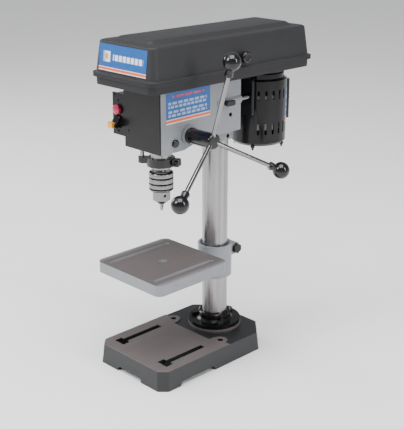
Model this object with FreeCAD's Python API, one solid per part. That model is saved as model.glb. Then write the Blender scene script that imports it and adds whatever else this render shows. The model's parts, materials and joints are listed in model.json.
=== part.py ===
import FreeCAD, Part
import math
import os

V = FreeCAD.Vector

# A bench drill press. Millimetres, +Z up, +Y towards the motor, +X the feed-handle side.
# The origin is on the bench, midway between the two bench bolts.

# Fits and gaps
running_fit = 0.05
part_gap = 0.3
bolt_slack = 0.4
nut_gap = 0.4

# Base
base_half_width = 85.7
base_front_y = -161.4
base_rear_y = 105.3
base_height = 36.8
base_draft = 3.0
base_wall = 8.0
base_roof = 9.0
base_front_chamfer = 14.0
base_rear_chamfer = 33.4
pad_rise = 2.0
pad_rear_y = -13.0
pad_notch_half_width = 47.0
bench_hole_margin = 23.2
bench_hole_radius = 5.25
bench_boss_radius = 13.0
base_slot_margin = 28.2
base_slot_front_y = -138.0
base_slot_rear_y = -40.0
base_slot_width = 10.5
base_slot_head_width = 24.0
base_slot_head_length = 15.0
foot_arch_height = 8.0
foot_arch_front_half = 31.0
foot_arch_side_front_y = -121.0
foot_arch_side_rear_y = -39.0
foot_arch_radius = 6.0

# Column and its flange
column_y = 47.0
column_radius = 23.0
column_wall = 3.5
seat_rise = 6.2
seat_margin = 1.0
flange_thickness = 7.0
flange_margin = 10.0
flange_hub_wall = 7.0
flange_hub_height = 15.0
flange_bolt_gap = 15.0
flange_bolt_angles = (90.0, 210.0, 330.0)
flange_bolt_radius = 4.0
flange_bolt_flats = 13.0
flange_bolt_head = 5.3
flange_bolt_depth = 14.0
spot_margin = 1.0

# Throat: from the column axis forward to the spindle axis
throat = 129.0
spindle_y = column_y - throat

# Table
table_width = 163.0
table_depth = 162.0
table_top_z = 196.0
table_apron = 19.7
table_plate = 8.0
table_wall = 6.0
table_corner_radius = 12.0
table_hole_radius = 8.25
table_slot_margin = 23.5
table_slot_front = 71.0
table_slot_rear = 66.0
table_slot_width = 9.0
table_boss_radius = 15.0

# Table bracket and its clamp
collar_height = 61.0
collar_wall = 8.0
collar_top_above_table = 1.0
collar_mouth_slope = 4.5
collar_mouth_depth = 6.0
bracket_slit = 6.0
ear_thickness = 11.0
ear_radius = 11.0
ear_gap = 10.0
ear_drop = 19.0
clamp_bolt_radius = 5.0
clamp_bolt_flats = 17.0
clamp_bolt_head = 6.5
lever_hub_radius = 9.0
lever_hub_length = 14.0
lever_rod_radius = 4.0
lever_reach = 58.0
lever_grip_radius = 6.5
lever_grip_length = 24.0
tilt_drop = 38.0
tilt_disc_radius = 22.0
tilt_disc_thickness = 10.0
tilt_arm_half_width = 14.0
tilt_arm_half_height = 14.0
tilt_lug_length = 23.0
tilt_lug_behind_table = 2.7
tilt_bolt_radius = 6.0
tilt_bolt_flats = 19.0
tilt_bolt_head = 7.5

# Head casting
head_floor_z = 401.0
head_height = 109.0
head_nose = 38.0
head_front_half = 44.0
head_rear_half = 36.0
head_tail = 26.0
head_wall = 5.0
head_floor = 6.0
head_top_plate = 8.0
head_rear_rise = 10.0
head_rise_start = 15.0
head_rise_end = 52.0
socket_wall = 8.6
socket_drop = 5.0
column_top_below_head = 12.0
set_screw_radius = 4.0
set_screw_heights = (1.8, 40.6)
set_screw_socket = 2.2
set_screw_socket_depth = 3.0
set_screw_recess = 1.5

# Quill and spindle
quill_radius = 18.0
quill_tube_wall = 6.0
quill_travel = 50.0
quill_hang = 35.0
quill_length = 124.0
quill_core_radius = 9.0
spindle_radius = 6.0
spindle_bearing_radius = 13.0
spindle_bearing_height = 8.0
spline_radius = 7.2
spline_count = 6
spline_width = 3.0
spline_slack = 0.1
spindle_top_above_pulley = 3.0
nose_radius = 7.6
nose_length = 27.0

# Feed pinion and rack
rack_module = 1.5
pinion_teeth = 12
rack_teeth = 14
rack_pitch_depth = 2.0
rack_width = 16.0
feed_above_floor = 24.0
feed_journal_radius = 10.9
feed_tail_radius = 7.0
feed_boss_radius = 17.5
feed_boss_face_x = 46.7
feed_core_radius = 8.0
feed_core_margin = 6.0
feed_hub_radius = 14.0
feed_hub_start_x = 47.0
feed_hub_end_x = 103.0
feed_rod_cross_x = 96.6
feed_rod_radius = 3.75
feed_rod_lean = 19.0
feed_rod_root = 6.5
feed_rod_length = 142.0
feed_rod_angles = (91.6, -28.4, -148.4)
knob_radius = 14.5
knob_neck_radius = 7.2
knob_neck_length = 12.0
spring_cap_radius = 21.0
spring_cap_depth = 20.0
spring_cap_wall = 2.0
spring_strip = 0.9
spring_pitch = 2.2
spring_turns = 4
spring_nut_flats = 14.0
spring_nut_height = 5.0

# Depth stop
stop_collar_wall = 6.0
stop_collar_height = 14.0
stop_collar_lift = 4.0
stop_arm_half_width = 7.0
stop_turn = math.degrees(math.atan2(-0.436, -0.9))
stop_rod_gap = 10.0
stop_rod_radius = 3.5
stop_rod_overrun = 10.0
stop_nut_flats = 11.0
stop_nut_height = 5.5
stop_screw_radius = 2.5
stop_screw_head = 4.5
stop_slit = 2.5
stop_ear_length = 10.0

# Chuck
chuck_nose_radius = 15.0
chuck_nose_height = 23.0
chuck_sleeve_radius = 21.0
chuck_sleeve_height = 33.0
chuck_sleeve_wall = 1.5
chuck_sleeve_mouth = 17.4
chuck_groove_heights = (10.5, 22.5)
chuck_groove_depth = 0.8
chuck_cap_radius = 17.0
chuck_cap_height = 8.0
chuck_throat_radius = 6.0
jaw_radius = 2.7
jaw_length = 32.0
jaw_lean = 15.0
jaw_offset = 1.7
jaw_split = 0.3
jaw_tip_radius = 2.3
jaw_cone_radius = 4.4
chuck_turn = 42.0
chuck_nose_mouth = 7.5
chuck_nose_taper = 6.5
jaw_count = 3
jaw_overhang = 13.5
key_hole_radius = 2.6
key_hole_height = 16.0

# Quill guide screw
guide_screw_forward = 7.0
guide_screw_radius = 4.0
guide_screw_cap_radius = 6.8
guide_screw_cap = 4.5
guide_screw_above_floor = 15.5
guide_groove_width = 6.0
guide_groove_depth = 1.5
guide_groove_margin = 14.0

# Front cover and switch
cover_sheet = 3.0
cover_wing_x = -73.0
cover_wing_low = 18.0
cover_wing_high = 89.0
cover_step = 1.0
switch_box_depth = 36.0
switch_box_wall = 2.5
switch_x = -59.0
stop_button_above_floor = 61.5
stop_button_radius = 8.5
stop_button_lip = 1.5
stop_button_proud = 7.0
stop_button_travel = 3.0
paddle_above_floor = 41.5
paddle_half_width = 7.0
paddle_half_height = 10.0
paddle_proud = 12.0
key_half_width = 3.0
key_half_height = 5.0
key_proud = 7.0
key_drop = 4.0
key_stop = 2.0
key_grip_half_width = 5.5
cover_screw_radius = 3.0
cover_screws_at = ((-69.5, 84.0), (-33.6, 29.5), (-60.0, 76.0), (-60.0, 24.0))

# Pulley cover
guard_front = 84.8
guard_back = 60.0
guard_half_width = 77.35
guard_corner_radius = 16.0
tray_height = 16.7
tray_inset = 5.0
guard_wall = 2.5
rim_thickness = 3.5
rim_proud = 4.5
lid_height = 55.3
lid_inset = 10.6
panel_half_width = 46.0
panel_margin = 24.8
panel_bevel = 7.5
panel_rise = 6.5
shoulder_steps = ((0.0, 3.0), (0.8, 1.2), (2.6, 0.0))
hinge_reach = 4.2
hinge_knuckle_radius = 3.4
hinge_pin_radius = 1.6
hinge_length = 30.0
hinge_places = (-95.0, 135.0)
lid_knob_y = 36.0
lid_knob_rise = 21.0
lid_knob_radius = 9.5
lid_knob_proud = 9.65
lid_knob_thickness = 12.0
lid_knob_stem = 2.5
tray_screw_radius = 3.0

# Pulleys and belt
pulley_steps = (46.0, 40.5, 35.0, 29.5, 24.0)
pulley_pitch = 11.0
pulley_lift = 5.0
groove_depth = 7.0
groove_mouth = 9.8
groove_floor = 5.4
belt_step = 2
belt_clearance = 0.4
belt_flank = 1.85
belt_floor_gap = 1.0
sleeve_radius = 10.0
sleeve_bearing_radius = 18.5
sleeve_bearing_height = 9.0
bearing_recess = 0.5

# Motor
motor_stand_off = 6.0
motor_radius = 50.0
motor_can_wall = 3.0
motor_can_low = -22.0
motor_can_high = 81.0
lower_bell_height = 10.0
upper_bell_height = 18.0
bell_wall = 3.5
motor_shaft_radius = 7.0
motor_shaft_foot = 6.0
stator_bore = 27.0
stator_low = 20.0
stator_high = 82.0
rotor_gap = 0.5
motor_bearing_radius = 16.0
motor_bearing_height = 10.0
through_bolt_inset = 6.0
through_bolt_radius = 2.0
through_bolt_flats = 7.0
through_bolt_nut = 3.5
through_bolt_angles = (30.0, 120.0, 210.0, 300.0)
vent_rows = ((12.0, 32.0), (75.0, 91.0))
vent_width = 4.0
vent_step = 16.0
vents_per_side = 7
capacitor_half_width = 25.0
capacitor_depth = 9.0
capacitor_low = 28.0
capacitor_high = 101.0
motor_travel = 12.0
mount_plate = 6.0
mount_gap = 24.0
mount_low = 29.0
mount_high = 96.0
saddle_half_width = 26.0
slide_bar_gap = 8.5
slide_bar_above_floor = 64.0
slide_bar_radius = 5.5
slide_bar_boss_radius = 8.5
slide_bar_entry = 56.0
tension_knob_y = 36.0
tension_knob_screw_radius = 2.5
tension_knob_half_length = 10.5
tension_knob_half_height = 5.0
tension_knob_thickness = 9.0

# Sizes, levels and places that follow from the values above
bench_hole_x = base_half_width - bench_hole_margin
base_slot_x = base_half_width - base_slot_margin
flange_hub_radius = column_radius + flange_hub_wall
flange_bolt_circle = column_radius + flange_bolt_gap
flange_radius = flange_bolt_circle + flange_margin
seat_radius = flange_radius + seat_margin
collar_radius = column_radius + collar_wall
collar_mouth_radius = column_radius + collar_mouth_slope
ear_reach = collar_radius + ear_gap
socket_radius = column_radius + socket_wall
slide_bar_x = column_radius + slide_bar_gap
mount_half_width = slide_bar_x + slide_bar_boss_radius
table_slot_x = table_width / 2 - table_slot_margin
quill_tube_radius = quill_radius + quill_tube_wall
rack_pitch_from_axis = quill_radius - rack_pitch_depth
stop_collar_radius = quill_radius + stop_collar_wall
stop_rod_reach = stop_collar_radius + stop_rod_gap
stop_ear_reach = stop_collar_radius + stop_ear_length
chuck_sleeve_bore = chuck_sleeve_radius - chuck_sleeve_wall
lid_knob_reach = guard_half_width + lid_knob_proud
through_bolt_circle = motor_radius - through_bolt_inset
deck_z = base_height - pad_rise
seat_z = deck_z + seat_rise
flange_top_z = seat_z + flange_thickness
head_top_z = head_floor_z + head_height
head_front_y = spindle_y - head_nose
head_rear_y = column_y + head_tail
column_top_z = head_top_z - column_top_below_head
table_rear_y = spindle_y + table_depth / 2
tilt_face_y = table_rear_y + tilt_lug_behind_table + part_gap
tilt_z = table_top_z - tilt_drop
collar_top_z = table_top_z + collar_top_above_table
collar_low_z = collar_top_z - collar_height
ear_y = column_y + ear_reach
ear_z = collar_top_z - ear_drop
feed_y = spindle_y + rack_pitch_from_axis + rack_module * pinion_teeth / 2
feed_z = head_floor_z + feed_above_floor
spring_cap_foot_x = 2.0 - feed_boss_face_x
quill_low_z = head_floor_z - quill_hang
quill_top_z = quill_low_z + quill_length
chuck_top_z = quill_low_z - 5.0
chuck_sleeve_top_z = chuck_top_z - 2.0
chuck_sleeve_low_z = chuck_sleeve_top_z - chuck_sleeve_height
chuck_low_z = chuck_sleeve_low_z - chuck_nose_height
jaw_tip_z = chuck_low_z - jaw_overhang
tray_z = head_top_z
parting_z = tray_z + tray_height
lid_top_z = parting_z + lid_height
panel_z = lid_top_z + panel_rise
pulley_low_z = tray_z + pulley_lift
pulley_top_z = pulley_low_z + pulley_pitch * len(pulley_steps)
mount_plate_y = head_rear_y + mount_gap
motor_y = mount_plate_y + mount_plate + motor_stand_off + motor_radius
slide_bar_z = head_floor_z + slide_bar_above_floor
sleeve_bearing_low_z = head_top_z - 2 * sleeve_bearing_height - bearing_recess
guard_front_y = spindle_y - guard_front
guard_back_y = motor_y + guard_back
cover_back_y = head_front_y
cover_front_y = cover_back_y - cover_sheet


def fused(*shapes):
    whole = shapes[0]
    for shape in shapes[1:]:
        whole = whole.fuse(shape)
    return whole.removeSplitter()


def cut(shape, *tools):
    for tool in tools:
        shape = shape.cut(tool)
    return shape


def box(x0, x1, y0, y1, z0, z1):
    return Part.makeBox(x1 - x0, y1 - y0, z1 - z0, V(x0, y0, z0))


def rod(radius, start, end):
    """A cylinder of this radius from one point to another."""
    start = V(*start)
    along = V(*end) - start
    return Part.makeCylinder(radius, along.Length, start, along)


def post(radius, x, y, z0, z1):
    return rod(radius, (x, y, z0), (x, y, z1))


def tube(outer, inner, x, y, z0, z1):
    return cut(post(outer, x, y, z0, z1), post(inner, x, y, z0, z1))


def turned(profile, foot=(0, 0, 0), axis=(0, 0, 1)):
    """A solid of revolution. Profile points are (radius, height along the axis)."""
    points = [V(radius, 0, height) for radius, height in profile]
    face = Part.Face(Part.makePolygon(points + points[:1]))
    solid = face.revolve(V(0, 0, 0), V(0, 0, 1), 360)
    solid.Placement = FreeCAD.Placement(V(*foot), FreeCAD.Rotation(V(0, 0, 1), V(*axis)))
    return solid


def hexagon(flats, start, end):
    """A hexagonal prism of this width across flats from one point to another."""
    corner = flats / math.sqrt(3)
    points = [V(*around(corner, 60 * k), 0) for k in range(7)]
    start = V(*start)
    along = V(*end) - start
    solid = Part.Face(Part.makePolygon(points)).extrude(V(0, 0, along.Length))
    solid.Placement = FreeCAD.Placement(start, FreeCAD.Rotation(V(0, 0, 1), along))
    return solid


def rounded_wire(points, radius):
    """A closed wire through 3D corner points, each corner rounded by a tangent arc of this radius."""
    if radius <= 0:
        return Part.makePolygon(points + points[:1])
    starts = []
    middles = []
    ends = []
    for k, corner in enumerate(points):
        before = (points[k - 1] - corner).normalize()
        after = (points[(k + 1) % len(points)] - corner).normalize()
        half = before.getAngle(after) / 2
        inwards = (before + after).normalize()
        centre = corner + inwards * (radius / math.sin(half))
        starts.append(corner + before * (radius / math.tan(half)))
        ends.append(corner + after * (radius / math.tan(half)))
        middles.append(centre - inwards * radius)
    edges = []
    for k in range(len(points)):
        edges.append(Part.Arc(starts[k], middles[k], ends[k]).toShape())
        edges.append(Part.makeLine(ends[k], starts[(k + 1) % len(points)]))
    return Part.Wire(edges)


def prism(outline, plane, low, high, radius=0.0):
    """An outline in plane xy, xz or yz, extruded between two values of the third axis."""
    place = {
        "xy": lambda a, b: V(a, b, low),
        "xz": lambda a, b: V(a, low, b),
        "yz": lambda a, b: V(low, a, b),
    }[plane]
    along = {"xy": V(0, 0, 1), "xz": V(0, 1, 0), "yz": V(1, 0, 0)}[plane]
    face = Part.Face(rounded_wire([place(a, b) for a, b in outline], radius))
    return face.extrude(along * (high - low))


def drafted(low_outline, low_z, high_outline, high_z, low_radius=0.0, high_radius=0.0):
    """A solid with straight drafted sides between two matching outlines."""
    low = rounded_wire([V(x, y, low_z) for x, y in low_outline], low_radius)
    high = rounded_wire([V(x, y, high_z) for x, y in high_outline], high_radius)
    return Part.makeLoft([low, high], True, True)


def rectangle(half_width, front_y, rear_y):
    return [(-half_width, front_y), (half_width, front_y), (half_width, rear_y), (-half_width, rear_y)]


def around(radius, degrees, x=0.0, y=0.0):
    angle = math.radians(degrees)
    return x + radius * math.cos(angle), y + radius * math.sin(angle)


# Base, column and flange

def base_outline(grow):
    """The base's plan, chamfered at its corners, grown outwards by this much."""
    half = base_half_width + grow
    front = base_front_y - grow
    rear = base_rear_y + grow
    nose = base_front_chamfer
    tail = base_rear_chamfer
    return [
        (-half + nose, front), (half - nose, front), (half, front + nose), (half, rear - tail),
        (half - tail, rear), (-half + tail, rear), (-half, rear - tail), (-half, front + nose),
    ]


def base_pad():
    """The machined pad in front, which reaches back beside the column to the two bench bolts."""
    field = prism(base_outline(0), "xy", deck_z, base_height)
    low = deck_z - 1
    high = base_height + 1
    far = base_half_width + base_draft
    zones = [box(-far, far, base_front_y - 1, pad_rear_y, low, high)]
    for side in (-1, 1):
        inner, outer = sorted((side * pad_notch_half_width, side * far))
        zones.append(box(inner, outer, pad_rear_y - 1, 0, low, high))
        zones.append(post(bench_boss_radius, side * bench_hole_x, 0, low, high))
    return field.common(fused(*zones))


def base_slot(x):
    low = deck_z - base_roof - 1
    high = base_height + 1
    half = base_slot_width / 2
    head = base_slot_head_width / 2
    channel = box(x - half, x + half, base_slot_front_y, base_slot_rear_y, low, high)
    mouth_rear = base_slot_front_y + base_slot_head_length
    return fused(channel, box(x - head, x + head, base_slot_front_y, mouth_rear, low, high))


def foot_arches():
    """Clearance under the front, rear and side walls, so that the base stands on four feet."""
    top = foot_arch_height
    low = -foot_arch_height
    half = foot_arch_front_half
    far = base_half_width + base_draft + 1
    wide = [(-half, low), (half, low), (half, top), (-half, top)]
    front = foot_arch_side_front_y
    rear = foot_arch_side_rear_y
    deep = [(front, low), (rear, low), (rear, top), (front, top)]
    through = base_front_y - base_draft - 1
    behind = base_rear_y + base_draft + 1
    lengthwise = prism(wide, "xz", through, behind, foot_arch_radius)
    return [lengthwise, prism(deep, "yz", -far, far, foot_arch_radius)]


def base():
    body = drafted(base_outline(base_draft), 0, base_outline(0), deck_z)
    room_low = base_outline(base_draft - base_wall)
    hollow = drafted(room_low, -1, base_outline(-base_wall), deck_z - base_roof)
    for side in (-1, 1):
        hollow = cut(hollow, post(bench_boss_radius, side * bench_hole_x, 0, -1, deck_z))
    seat = post(seat_radius, 0, column_y, deck_z - 1, seat_z)
    body = fused(cut(body, hollow), base_pad(), seat)
    body = cut(body, base_slot(-base_slot_x), base_slot(base_slot_x), *foot_arches())
    for side in (-1, 1):
        foot = post(bench_boss_radius, side * bench_hole_x, 0, 0, deck_z)
        hole = post(bench_hole_radius, side * bench_hole_x, 0, -1, base_height + 1)
        body = cut(fused(body, foot), hole)
    for angle in flange_bolt_angles:
        x, y = around(flange_bolt_circle, angle, 0, column_y)
        body = cut(body, post(flange_bolt_radius, x, y, seat_z - flange_bolt_depth, seat_z + 1))
    return body


def column_flange():
    plate = post(flange_radius, 0, column_y, seat_z, flange_top_z)
    hub_profile = [
        (0, 0), (flange_hub_radius + 4, 0), (flange_hub_radius, 4),
        (flange_hub_radius, flange_hub_height - 2), (flange_hub_radius - 2, flange_hub_height),
        (0, flange_hub_height),
    ]
    hub = turned(hub_profile, (0, column_y, flange_top_z))
    body = fused(plate, hub)
    spot_radius = flange_bolt_flats / math.sqrt(3) + spot_margin
    for angle in flange_bolt_angles:
        x, y = around(flange_bolt_circle, angle, 0, column_y)
        hole = post(flange_bolt_radius + bolt_slack, x, y, seat_z - 1, flange_top_z + 1)
        spot = post(spot_radius, x, y, flange_top_z, flange_top_z + flange_hub_height)
        body = cut(body, hole, spot)
    bore_top = flange_top_z + flange_hub_height + 1
    return cut(body, post(column_radius, 0, column_y, seat_z - 1, bore_top))


def flange_bolts():
    bolts = []
    for angle in flange_bolt_angles:
        x, y = around(flange_bolt_circle, angle, 0, column_y)
        head = hexagon(flange_bolt_flats, (x, y, flange_top_z), (x, y, flange_top_z + flange_bolt_head))
        shank = post(flange_bolt_radius, x, y, seat_z - flange_bolt_depth, flange_top_z + 1)
        bolts.append(fused(head, shank))
    return bolts


def column():
    return tube(column_radius, column_radius - column_wall, 0, column_y, seat_z, column_top_z)


# Table, bracket and clamp

def work_table():
    half = table_width / 2
    front = spindle_y - table_depth / 2
    low = table_top_z - table_apron
    plate = prism(rectangle(half, front, table_rear_y), "xy", low, table_top_z, table_corner_radius)
    inner = rectangle(half - table_wall, front + table_wall, table_rear_y - table_wall)
    ceiling = table_top_z - table_plate
    hollow = prism(inner, "xy", low - 1, ceiling, table_corner_radius - table_wall)
    lug_rear = tilt_face_y - part_gap
    lug_front = lug_rear - tilt_lug_length
    lug = rod(tilt_disc_radius, (0, lug_front, tilt_z), (0, lug_rear, tilt_z))
    web = box(-tilt_disc_radius, tilt_disc_radius, lug_front, table_rear_y, tilt_z, ceiling)
    boss = post(table_boss_radius, 0, spindle_y, low + 4, ceiling + 1)
    above = box(-half, half, lug_front - 1, lug_rear + 1, ceiling, 2 * table_top_z)
    body = fused(cut(plate, hollow), cut(fused(lug, web), above), boss)
    tools = [post(table_hole_radius, 0, spindle_y, low - 1, table_top_z + 1)]
    slot_half = table_slot_width / 2
    for side in (-1, 1):
        x = side * table_slot_x
        slot_front = spindle_y - table_slot_front
        slot_rear = spindle_y + table_slot_rear
        tools.append(box(x - slot_half, x + slot_half, slot_front, slot_rear, low - 1, table_top_z + 1))
    tools.append(rod(tilt_bolt_radius + running_fit, (0, lug_front - 1, tilt_z), (0, lug_rear + 1, tilt_z)))
    return cut(body, *tools)


def table_bracket():
    collar = post(collar_radius, 0, column_y, collar_low_z, collar_top_z)
    ear_far = bracket_slit / 2 + ear_thickness
    ears = rod(ear_radius, (-ear_far, ear_y, ear_z), (ear_far, ear_y, ear_z))
    root = box(-ear_far, ear_far, column_y, ear_y, ear_z - ear_radius, ear_z + ear_radius)
    disc = rod(tilt_disc_radius, (0, tilt_face_y, tilt_z), (0, tilt_face_y + tilt_disc_thickness, tilt_z))
    arm_low = tilt_z - tilt_arm_half_height
    arm_high = tilt_z + tilt_arm_half_height
    arm = box(-tilt_arm_half_width, tilt_arm_half_width, tilt_face_y, column_y, arm_low, arm_high)
    body = fused(collar, ears, root, disc, arm)
    bore = post(column_radius + running_fit, 0, column_y, collar_low_z - 1, collar_top_z + 1)
    mouth_profile = [
        (0, 0), (column_radius, 0), (collar_mouth_radius, collar_mouth_depth),
        (collar_mouth_radius, collar_mouth_depth + 1), (0, collar_mouth_depth + 1),
    ]
    mouth = turned(mouth_profile, (0, column_y, collar_top_z - collar_mouth_depth))
    slit_half = bracket_slit / 2
    slit = box(-slit_half, slit_half, column_y, ear_y + ear_radius + 1, collar_low_z - 1, collar_top_z + 1)
    clamp_hole = rod(clamp_bolt_radius, (-ear_far - 1, ear_y, ear_z), (ear_far + 1, ear_y, ear_z))
    thread_end = tilt_face_y + tilt_disc_thickness
    tilt_hole = rod(tilt_bolt_radius, (0, tilt_face_y - 1, tilt_z), (0, thread_end, tilt_z))
    return cut(body, bore, mouth, slit, clamp_hole, tilt_hole)


def clamp_bolt():
    face = bracket_slit / 2 + ear_thickness
    head = hexagon(clamp_bolt_flats, (face, ear_y, ear_z), (face + clamp_bolt_head, ear_y, ear_z))
    end = -face - part_gap - lever_hub_length
    return fused(head, rod(clamp_bolt_radius, (end, ear_y, ear_z), (face + 1, ear_y, ear_z)))


def clamp_lever():
    near = -bracket_slit / 2 - ear_thickness - part_gap
    far = near - lever_hub_length
    middle = (near + far) / 2
    hub = rod(lever_hub_radius, (far, ear_y, ear_z), (near, ear_y, ear_z))
    stem = rod(lever_rod_radius, (middle, ear_y, ear_z), (middle, ear_y, ear_z - lever_reach))
    bulge = lever_grip_radius
    length = lever_grip_length
    profile = [(0, 0), (bulge - 2, 0), (bulge, 3), (bulge, length - 6), (bulge - 2, length), (0, length)]
    grip = turned(profile, (middle, ear_y, ear_z - lever_reach))
    bore = rod(clamp_bolt_radius + running_fit, (far - 1, ear_y, ear_z), (near + 1, ear_y, ear_z))
    return cut(fused(hub, stem, grip), bore)


def tilt_bolt():
    face = tilt_face_y - 2 * part_gap - tilt_lug_length
    head = hexagon(tilt_bolt_flats, (0, face - tilt_bolt_head, tilt_z), (0, face, tilt_z))
    end = tilt_face_y + tilt_disc_thickness
    return fused(head, rod(tilt_bolt_radius, (0, face - 1, tilt_z), (0, end, tilt_z)))


# Head

def head_half_at(y):
    """Half the head's width where its sides taper from the front to the rear."""
    share = (y - head_front_y) / (head_rear_y - head_front_y)
    return head_front_half + share * (head_rear_half - head_front_half)


def head_plan(inset, front_y, rear_y):
    front = head_half_at(front_y) - inset
    rear = head_half_at(rear_y) - inset
    return [(-front, front_y), (front, front_y), (rear, rear_y), (-rear, rear_y)]


def head_side(inset):
    """The side view: a level floor under the quill that steps up towards the column."""
    low = head_floor_z + inset
    rise = low + head_rear_rise
    near = spindle_y + head_rise_start
    far = spindle_y + head_rise_end
    return [(near, low), (far, rise)]


def head_block(inset, front_y, rear_y, top_z):
    plan = prism(head_plan(inset, front_y, rear_y), "xy", 0, 2 * head_top_z)
    knee, heel = head_side(inset * head_floor / head_wall)
    outline = [(front_y, knee[1]), knee, heel, (rear_y, heel[1]), (rear_y, top_z), (front_y, top_z)]
    return plan.common(prism(outline, "yz", -2 * head_front_half, 2 * head_front_half))


def head_casting():
    shell = head_block(0, head_front_y, head_rear_y, head_top_z)
    room = head_block(head_wall, head_front_y - 1, head_rear_y - head_wall, head_top_z - head_top_plate)
    socket_low = head_floor_z - socket_drop
    bar_front = head_rear_y - slide_bar_entry
    inner = [
        post(quill_tube_radius, 0, spindle_y, head_floor_z, head_top_z - 1),
        post(socket_radius, 0, column_y, socket_low, head_top_z - 1),
        rod(feed_boss_radius, (-feed_boss_face_x + 2, feed_y, feed_z), (feed_boss_face_x, feed_y, feed_z)),
    ]
    guide_y = spindle_y - guide_screw_forward
    guide_z = head_floor_z + guide_screw_above_floor
    inner.append(rod(guide_screw_radius + 4, (0, guide_y, guide_z), (head_front_half - 2, guide_y, guide_z)))
    for side in (-1, 1):
        x = side * slide_bar_x
        boss_front = bar_front - 4
        inner.append(rod(slide_bar_boss_radius, (x, boss_front, slide_bar_z), (x, head_rear_y, slide_bar_z)))
    body = fused(cut(shell, room), *inner)
    journal = feed_journal_radius + running_fit
    tail = feed_tail_radius + running_fit
    tools = [
        post(quill_radius + running_fit, 0, spindle_y, head_floor_z - 1, sleeve_bearing_low_z),
        post(sleeve_bearing_radius, 0, spindle_y, sleeve_bearing_low_z - 1, head_top_z + 1),
        post(column_radius, 0, column_y, socket_low - 1, column_top_z),
        rod(journal, (-rack_width, feed_y, feed_z), (feed_boss_face_x + 1, feed_y, feed_z)),
        rod(tail, (-feed_boss_face_x - 1, feed_y, feed_z), (0, feed_y, feed_z)),
        rod(guide_screw_radius, (0, guide_y, guide_z), (head_front_half + 1, guide_y, guide_z)),
    ]
    for side in (-1, 1):
        x = side * slide_bar_x
        outside = side * (head_front_half + 1)
        hole = slide_bar_radius + running_fit
        tools.append(rod(hole, (x, bar_front, slide_bar_z), (x, head_rear_y + 1, slide_bar_z)))
        thread = tension_knob_screw_radius + running_fit
        tools.append(rod(thread, (x, tension_knob_y, slide_bar_z), (outside, tension_knob_y, slide_bar_z)))
    for height in set_screw_heights:
        z = head_floor_z + height
        tools.append(rod(set_screw_radius, (0, column_y, z), (head_front_half, column_y, z)))
    stop_x, stop_y = stop_rod_place()
    stop_hole_top = head_floor_z + head_floor + 1
    tools.append(post(stop_rod_radius + bolt_slack, stop_x, stop_y, head_floor_z - 1, stop_hole_top))
    for x, y in tray_screw_places():
        tools.append(post(tray_screw_radius, x, y, head_top_z - head_top_plate + 1, head_top_z + 1))
    return cut(body, *tools)


def head_set_screws():
    """Socket screws that pinch the head on the column, just below the casting's face."""
    screws = []
    for height, face in zip(set_screw_heights, (socket_radius, head_half_at(column_y))):
        z = head_floor_z + height
        end = face - set_screw_recess
        screw = rod(set_screw_radius, (column_radius, column_y, z), (end, column_y, z))
        floor = end - set_screw_socket_depth
        socket = hexagon(2 * set_screw_socket, (floor, column_y, z), (end + 1, column_y, z))
        screws.append(cut(screw, socket))
    return screws


def quill_side_x():
    """The quill's surface on the right, at the guide screw."""
    return math.sqrt(quill_radius ** 2 - guide_screw_forward ** 2)


def quill_guide_screw():
    y = spindle_y - guide_screw_forward
    z = head_floor_z + guide_screw_above_floor
    face = head_half_at(y - guide_screw_cap_radius)
    tip = quill_side_x() + 1.6
    shank = rod(guide_screw_radius, (tip, y, z), (face + 1, y, z))
    edge = guide_screw_cap_radius
    top = guide_screw_cap
    profile = [(0, 0), (edge, 0), (edge, top - 1.5), (edge - 1.5, top), (0, top)]
    return fused(shank, turned(profile, (face, y, z), (1, 0, 0)))


def front_cover():
    """A sheet over the head's open front, with a wing on the left for the switch."""
    low = head_floor_z + 1
    top = head_top_z - 1
    half = head_front_half
    wing_low = head_floor_z + cover_wing_low
    wing_high = head_floor_z + cover_wing_high
    main = box(-half, half, cover_front_y, cover_back_y, wing_low, top)
    band = box(-half, half, cover_front_y + cover_step, cover_back_y, low, wing_low)
    wing = box(cover_wing_x, -half, cover_front_y, cover_back_y, wing_low, wing_high)
    body = fused(main, band, wing)
    stop_z = head_floor_z + stop_button_above_floor
    paddle_z = head_floor_z + paddle_above_floor
    gap = part_gap + 0.7
    hole = stop_button_radius - stop_button_lip + part_gap
    button = rod(hole, (switch_x, cover_front_y - 1, stop_z), (switch_x, cover_back_y + 1, stop_z))
    window = box(
        switch_x - paddle_half_width - part_gap, switch_x + paddle_half_width + part_gap,
        cover_front_y - 1, cover_back_y + 1,
        paddle_z - paddle_half_height - gap, paddle_z + paddle_half_height + gap,
    )
    tools = [button, window]
    for x, height in cover_screws_at:
        z = head_floor_z + height
        tools.append(rod(cover_screw_radius / 2, (x, cover_front_y - 1, z), (x, cover_back_y + 1, z)))
    return cut(body, *tools)


def cover_screws():
    screws = []
    for x, height in cover_screws_at:
        z = head_floor_z + height
        profile = [(0, 0), (cover_screw_radius, 0), (cover_screw_radius * 0.6, 1.6), (0, 1.6)]
        head = turned(profile, (x, cover_front_y, z), (0, -1, 0))
        shank = rod(cover_screw_radius / 2, (x, cover_front_y - 1, z), (x, cover_back_y, z))
        screws.append(fused(head, shank))
    return screws


def switch_box():
    left = cover_wing_x + 1
    right = -head_front_half - part_gap
    back = cover_back_y + switch_box_depth
    low = head_floor_z + cover_wing_low + 2
    high = head_floor_z + cover_wing_high - 2
    wall = switch_box_wall
    shell = box(left, right, cover_back_y, back, low, high)
    return cut(shell, box(left + wall, right - wall, cover_back_y - 1, back - wall, low + wall, high - wall))


def stop_button():
    z = head_floor_z + stop_button_above_floor
    stem = stop_button_radius - stop_button_lip
    gap = stop_button_travel + part_gap
    foot = -cover_sheet - 8
    profile = [
        (0, foot), (stem, foot), (stem, gap), (stop_button_radius, gap),
        (stop_button_radius, stop_button_proud - 1.5), (stop_button_radius - 1.5, stop_button_proud),
        (0, stop_button_proud),
    ]
    return turned(profile, (switch_x, cover_front_y, z), (0, -1, 0))


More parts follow.
